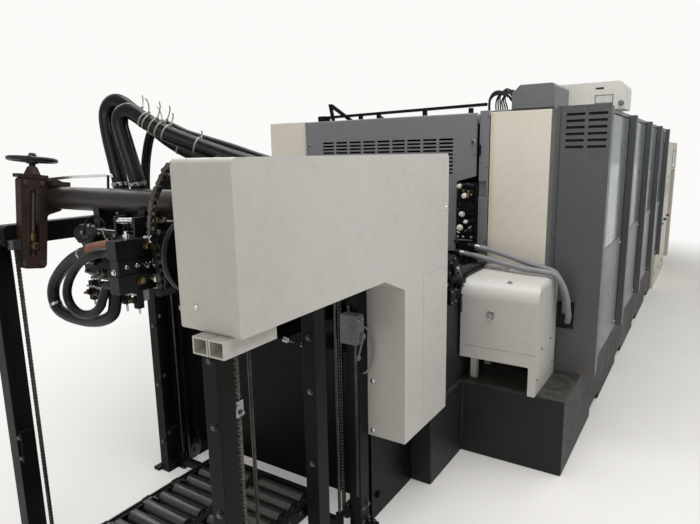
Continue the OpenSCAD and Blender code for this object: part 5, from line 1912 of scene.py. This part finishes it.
@dataclass
class PrintUnits:
    """Guard, panels, doors, boxes and rails of the four units."""

    pitch: float = 915.0
    count: int = 4
    louvre_y: tuple[float, float] = (-1102, -1009)
    louvre_z: float = 1412.0
    louvre_pitch: float = 28.6
    louvre_len: float = 78.0
    jamb_x: tuple[float, float] = (-2.0, 13.5)
    jamb_z: float = 925.0

    def louvres(self) -> None:
        """Puts bent blades and a lining, both matt black painted shade, into the end panel's slots."""
        shade_vane = Stock().slab(
            [(-39, -5.4, 0.5), (39, -5.4, 0.5), (39, 5.6, 7.5), (-39, 5.6, 7.5)], (0, 0.4, 1.2)
        )
        heights = [self.louvre_z + row * self.louvre_pitch for row in range(6)]
        half = self.louvre_len / 2
        spots = [Spot((11.5, y + half, z + 6), TAIL, FAR) for y in self.louvre_y for z in heights]
        Repeat("louvre_blades", shade_vane, SHADE_BLACK).place(spots)
        shade_backing = Stock()
        for y in self.louvre_y:
            shade_backing.block((9.5, y - 5, heights[0] - 6), (11.9, y + 2 * half + 5, heights[-1] + 18), 0.2)
        # The recess behind the conduits gets the same painted shade
        shade_backing.block((9, -1015, 566), (11.9, -885, 708), 0.2)
        shade_backing.piece("panel_lining", SHADE_BLACK)
        recess = Stock().block((-1.5, -1014, 568), (1, -1010, 707), 0.4)
        for z in (703, 568):
            recess.block((-1.5, -1014, z), (1, -890, z + 4), 0.4)
        recess.piece("recess_frame", PILLAR_GREY)

    def shells(self) -> None:
        """Breaks the edges of the units' housings."""
        for name, finish, width in (
            ("cream_top_box", CREAM, 4.0), ("grey_top_box", BOX_GREY, 3.0), ("side_pillars", PILLAR_GREY, 3.0),
            ("operator_cases", LOW_PANEL, 2.0), ("cream_panels", YELLOWED, 2.5), ("tower_covers", TOWER, 1.5),
            ("base_bed", BED_GREY, 6.0), ("top_rail", BLACK, 2.0), ("print_cylinders", CYLINDER, 2.0),
            ("ink_rollers", RUBBER, 2.0),
        ):
            softened(name, finish, width)
        for k in range(self.count):
            softened(f"side_door_{k + 1}", DOOR_GLOSS, 3.0, f"door_{k + 1}")
        # The jamb beside the guard has the guard's powder coat
        frames = softened("unit_frames", FRAME_GREY, 3.0)
        frames.data.materials.append(GUARD_GREY.material())
        near, far = self.jamb_x
        for face in frames.data.polygons:
            if near < face.center.x / MM < far and face.center.z / MM > self.jamb_z:
                face.material_index = 1

    def door_fittings(self) -> None:
        """Puts screws on the doors, and grips and screws on the panels below them."""
        low_screws, grips = [], Stock()
        for k in range(self.count):
            x0, x1 = self.pitch * k + 83, self.pitch * (k + 1) - 6
            spots = [((x, -1080, z), NEAR) for x in (x0 + 22, x1 - 22) for z in (940, 1548)]
            Head.DOMED.on(f"door_{k + 1}_screws", spots, 11, DULL_STEEL, f"door_{k + 1}")
            low_screws += [((x, -1080, z), NEAR) for x in (x0 + 30, x1 - 30) for z in (390, 872)]
            grips.block((x0 + 60, -1081.5, 640), (x0 + 84, -1078, 780), 1.0)
        Head.DOMED.on("low_panel_screws", low_screws, 13, CHROME)
        grips.piece("low_panel_grips", PLASTIC)
        dots = Stock()
        for k in range(self.count + 1):
            x = 30 if k == 0 else self.pitch * k + 32
            dots.turned((x, -1117, 1540), FAR, [(0.2, 3), (3, 3)], 8)
        dots.piece("pillar_plugs", DULL_STEEL)

    def guard_fittings(self) -> None:
        """Puts locks and a latch on the guard's face and its jamb."""
        locks = [((-21, y, 1454), TAIL) for y in (-503, 489)]
        Head.SOCKET.on("guard_locks", locks, 13, DULL_STEEL, "guard")
        grips = Stock()
        for y in (-503, 489):
            grips.turned((-16, y, 1454), TAIL, [(0, 12), (1.5, 12), (2.2, 10), (2.2, 7)], 20)
        grips.piece("guard_lock_rings", STEEL, "guard")
        latch = Stock().block((-9, -539, 1388), (0, -529, 1438), 1.5)
        latch.rod((-7, -534, 1396), (-12, -534, 1396), 7)
        latch.piece("guard_latch", BLACK)
        jamb = [((0, -570, z), TAIL) for z in (960, 1330, 1570)]
        Head.DOMED.on("jamb_screws", jamb, 9, DULL_STEEL)
        lock = Stock().turned(
            (0, -900, 1015), TAIL, [(-2, 10), (2, 10), (3, 8.5), (3, 3), (1.5, 2.6), (1.5, 0)], 20
        )
        lock.piece("end_panel_lock", DULL_STEEL)
        bolts = [((0, y, z), TAIL) for y in (-1106, -1022) for z in (372, 1592)]
        Head.DOMED.on("end_panel_screws", bolts, 8, PILLAR_GREY)

    def roof(self) -> None:
        """Adds lids with grips on the towers, the boxes' fittings and the rail's bolts."""
        lids, grips = Stock(), Stock()
        for k in range(self.count):
            x = self.pitch * k
            lids.block((x + 110, -440, 1581), (x + 560, -4, 1587), 2)
            lids.block((x + 110, 4, 1581), (x + 560, 380, 1587), 2)
            for y in (-330, -120, 120, 300):
                bow = [(-34, 1586), (-34, 1597), (-28, 1604), (28, 1604), (34, 1597), (34, 1586)]
                grips.sweep(smooth_route([(x + 520, y + dy, z) for dy, z in bow], 5), 4, 8)
        lids.piece("tower_lids", TOWER)
        grips.piece("lid_grips", PLASTIC)
        # A matt black strip of painted shade stands for the slot in the box's face
        Stock().block((391.6, -1016, 1699), (393.2, -979, 1707), 0.2).piece("box_slot", SHADE_BLACK)
        Stock().block((391, -1058, 1633), (393.5, -981, 1668), 0.6).piece("box_window", PANE)
        box_frame = Stock().rim((390, -1061, 1630), (392.5, -978, 1671), 1, 3, 0.4)
        box_frame.turned((393, -1098, 1628), TAIL, [(-1, 13), (6, 13), (7, 11), (16, 10), (17, 7)], 20)
        box_frame.piece("box_window_frame", BOX_GREY)
        spots = [((27.8, y, 1590), TAIL) for y in (-469, -219, 56, 171)]
        spots += [((55.8, y, 1592), TAIL) for y in (252, 372)]
        nuts("rail_bolts", spots, 11, DULL_STEEL)
        seam = Stock()
        for k in range(self.count):
            x = self.pitch * k
            seam.block((x + 20, -1060, 1598), (x + self.pitch - 20, -600, 1599.4), 0.5)
        seam.piece("case_lids", TOWER)

    def dress(self) -> None:
        """Builds the units' pieces."""
        self.shells()
        self.louvres()
        self.door_fittings()
        self.guard_fittings()
        self.roof()


@dataclass
class Delivery:
    """Delivery housing at the far end."""

    start_x: float = 3660.0
    side_y: float = -1080.0
    panels: int = 3
    panel_pitch: float = 456.0

    def dress(self) -> None:
        """Builds the delivery's housing with its window, grips, vents and screws."""
        softened("delivery_covers", PANEL_CREAM, 8.0, segments=3)
        softened("delivery_board", WOOD, 2.0)
        y = self.side_y
        Stock().block((5160, y - 3, 1190), (5560, y + 1, 1380), 1.5).piece("hood_window", PANE)
        Stock().rim((5150, y - 5, 1180), (5570, y, 1390), 0, 10, 1.0).piece("hood_window_rim", PILLAR_GREY)
        edges = [self.start_x + self.panel_pitch * k for k in range(self.panels)]
        doors, grips = Stock(), Stock()
        for x in edges:
            doors.block((x + 20, y - 4, 120), (x + 460, y, 1120), 2)
            bow = [(230, 4), (230, 24), (238, 30), (342, 30), (350, 24), (350, 4)]
            grips.sweep(smooth_route([(x + dx, y - out, 640) for dx, out in bow], 6), 6, 10)
        doors.piece("delivery_panels", PANEL_CREAM)
        screws = [((x + dx, y - 4, z), NEAR) for x in edges for dx in (44, 436) for z in (150, 1090)]
        Head.LOCK.on("delivery_locks", screws, 22, DULL_STEEL)
        vent = Stock().slab([(-110, -4, 0), (110, -4, 0), (110, 5, 6), (-110, 5, 6)], (0, 0.6, 1.2))
        spots = [Spot((x + 240, y - 4, 900 + 26 * row), NEAR, FORE) for x in edges for row in range(6)]
        Repeat("delivery_vents", vent, PANEL_CREAM).place(spots)
        grips.piece("delivery_grips", PLASTIC)


@dataclass
class Studio:
    """Floor, lights and camera."""

    camera_place: Point = (-2.707, -1.505, 1.400)
    yaw: float = math.radians(32.764)
    pitch: float = math.radians(10.793)
    roll: float = math.radians(1.013)
    focal_pixels: float = 560.84
    frame_width: float = 700.0

    def camera(self) -> None:
        """Sets the camera to the photograph's view."""
        level = math.cos(self.pitch)
        ahead = Vector((math.cos(self.yaw) * level, math.sin(self.yaw) * level, -math.sin(self.pitch)))
        right = Vector((math.sin(self.yaw), -math.cos(self.yaw), 0.0))
        down = ahead.cross(right)
        c, s = math.cos(self.roll), math.sin(self.roll)
        x_axis = c * right + s * down
        y_axis = s * right - c * down
        made = bpy.data.cameras.new("camera")
        made.sensor_width = 36.0
        made.sensor_fit = "HORIZONTAL"
        made.lens = self.focal_pixels / self.frame_width * made.sensor_width
        made.clip_start = 0.02
        eye = placed("camera", made)
        turn = Matrix((x_axis, y_axis, -ahead)).transposed().to_4x4()
        eye.matrix_world = Matrix.Translation(self.camera_place) @ turn
        bpy.context.scene.camera = eye

    def floor(self) -> None:
        """Lays the pale floor, which turns to the white of the background a few metres off."""
        work = bmesh.new()
        bmesh.ops.create_grid(
            work, x_segments=1, y_segments=1, size=60.0, matrix=Matrix.Translation((1.5, 0, 0))
        )
        mesh = bpy.data.meshes.new("floor")
        work.to_mesh(mesh)
        work.free()
        ground = placed("floor", mesh)
        # Matt pale floor paint, lit white for the eye and for mirrors where it meets the background
        paint = bpy.data.materials.new("pale_floor_paint")
        paint.use_nodes = True
        tree = paint.node_tree
        shader = tree.nodes["Principled BSDF"]
        shader.inputs["Roughness"].default_value = 0.85
        place = node(tree, "ShaderNodeTexCoord").outputs["Object"]
        tone = node(tree, "ShaderNodeMix", {"data_type": "RGBA"}, {0: noise(tree, place, 3.0, 4.0, 0.5)})
        tone.inputs[6].default_value = linear("#e6e4e1")
        tone.inputs[7].default_value = linear("#dedcd8")
        tree.links.new(tone.outputs[2], shader.inputs["Base Color"])
        off = node(
            tree, "ShaderNodeMapping", links={"Vector": place}, Location=(-1.6, 0.0, 0.0),
            Scale=(0.62, 1.0, 1.0),
        )
        far = node(tree, "ShaderNodeVectorMath", {"operation": "LENGTH"}, {0: off.outputs[0]})
        fade = ramp(tree, far.outputs["Value"], 1.7, 3.4)
        fade.node.interpolation_type = "SMOOTHSTEP"
        rays = node(tree, "ShaderNodeLightPath")
        eye = maths(tree, "MAXIMUM", rays.outputs["Is Camera Ray"], rays.outputs["Is Glossy Ray"])
        amount = maths(tree, "MULTIPLY", fade, eye)
        glow = node(tree, "ShaderNodeEmission", Color=linear("#fbfaf8"), Strength=1.0)
        mix = node(tree, "ShaderNodeMixShader", links={0: amount, 1: shader.outputs[0], 2: glow.outputs[0]})
        tree.links.new(mix.outputs[0], tree.nodes["Material Output"].inputs["Surface"])
        ground.data.materials.append(paint)

    def lamp(
        self, name: str, place: Point, aim: Point, size: tuple[float, float], watts: float,
        shade: str = "#ffffff",
    ) -> None:
        """Hangs one soft lamp.

        Args:
            name: the lamp's name.
            place: where it hangs.
            aim: what it points at.
            size: its width and length, in metres.
            watts: its power.
            shade: the light's colour.
        """
        light = bpy.data.lights.new(name, "AREA")
        light.shape = "RECTANGLE"
        light.size, light.size_y = size
        light.energy = watts
        light.color = linear(shade)[:3]
        made = placed(name, light)
        turn = (Vector(aim) - Vector(place)).to_track_quat("-Z", "Y").to_matrix().to_4x4()
        made.matrix_world = Matrix.Translation(place) @ turn

    def world(self) -> None:
        """Gives camera and mirror rays a white room and the object a plain soft light."""
        world = bpy.data.worlds.new("studio")
        bpy.context.scene.world = world
        world.use_nodes = True
        tree = world.node_tree
        plain = tree.nodes["Background"]
        plain.inputs["Color"].default_value = linear("#f4f2ef")
        plain.inputs["Strength"].default_value = 0.42
        white = node(tree, "ShaderNodeBackground", Color=linear("#fbfaf8"), Strength=1.0)
        mirrored = node(tree, "ShaderNodeBackground", Color=linear("#fbfaf8"), Strength=0.62)
        rays = node(tree, "ShaderNodeLightPath")
        sockets = {0: rays.outputs["Is Glossy Ray"], 1: plain.outputs[0], 2: mirrored.outputs[0]}
        glossy = node(tree, "ShaderNodeMixShader", links=sockets)
        seen = maths(tree, "MAXIMUM", rays.outputs["Is Camera Ray"], rays.outputs["Is Transmission Ray"])
        mix = node(tree, "ShaderNodeMixShader", links={0: seen, 1: glossy.outputs[0], 2: white.outputs[0]})
        tree.links.new(mix.outputs[0], tree.nodes["World Output"].inputs["Surface"])

    def build(self) -> None:
        """Builds the floor, the world and the lamps."""
        self.floor()
        self.world()
        self.lamp("ceiling_near", (-0.9, -0.9, 3.7), (-0.8, -0.3, 0.6), (1.6, 4.0), 92.0)
        self.lamp("feeder_end", (-5.2, -0.9, 2.4), (0.0, -0.3, 1.0), (3.0, 1.6), 38.0, "#fff6ec")
        self.lamp("ceiling_far", (2.6, -2.4, 3.4), (2.2, -0.6, 0.8), (5.0, 1.2), 70.0)
        self.lamp("drive_side", (1.5, 3.0, 3.2), (1.5, 0.4, 0.8), (6.0, 1.2), 50.0)


def paint_nodes() -> None:
    """Gives every CAD node its finish."""
    for name, finish in NODE_FINISHES.items():
        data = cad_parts[name].data
        data.materials.clear()
        data.materials.append(finish.material())


def main() -> None:
    """Builds the camera and the cords, then dresses the press."""
    logging.basicConfig(level=logging.INFO, format="%(name)s: %(message)s")
    bpy.context.scene.view_settings.view_transform = "Standard"
    studio = Studio()
    studio.camera()
    Hoses().dress()
    paint_nodes()
    for group in (
        PileLift(), FeederBody(), SuckerHead(), DamperCorner(), FloorCabinet(), PrintUnits(), Delivery()
    ):
        group.dress()
        LOG.info("%s is dressed", type(group).__name__)
    studio.build()


if __name__ == "__main__":
    main()
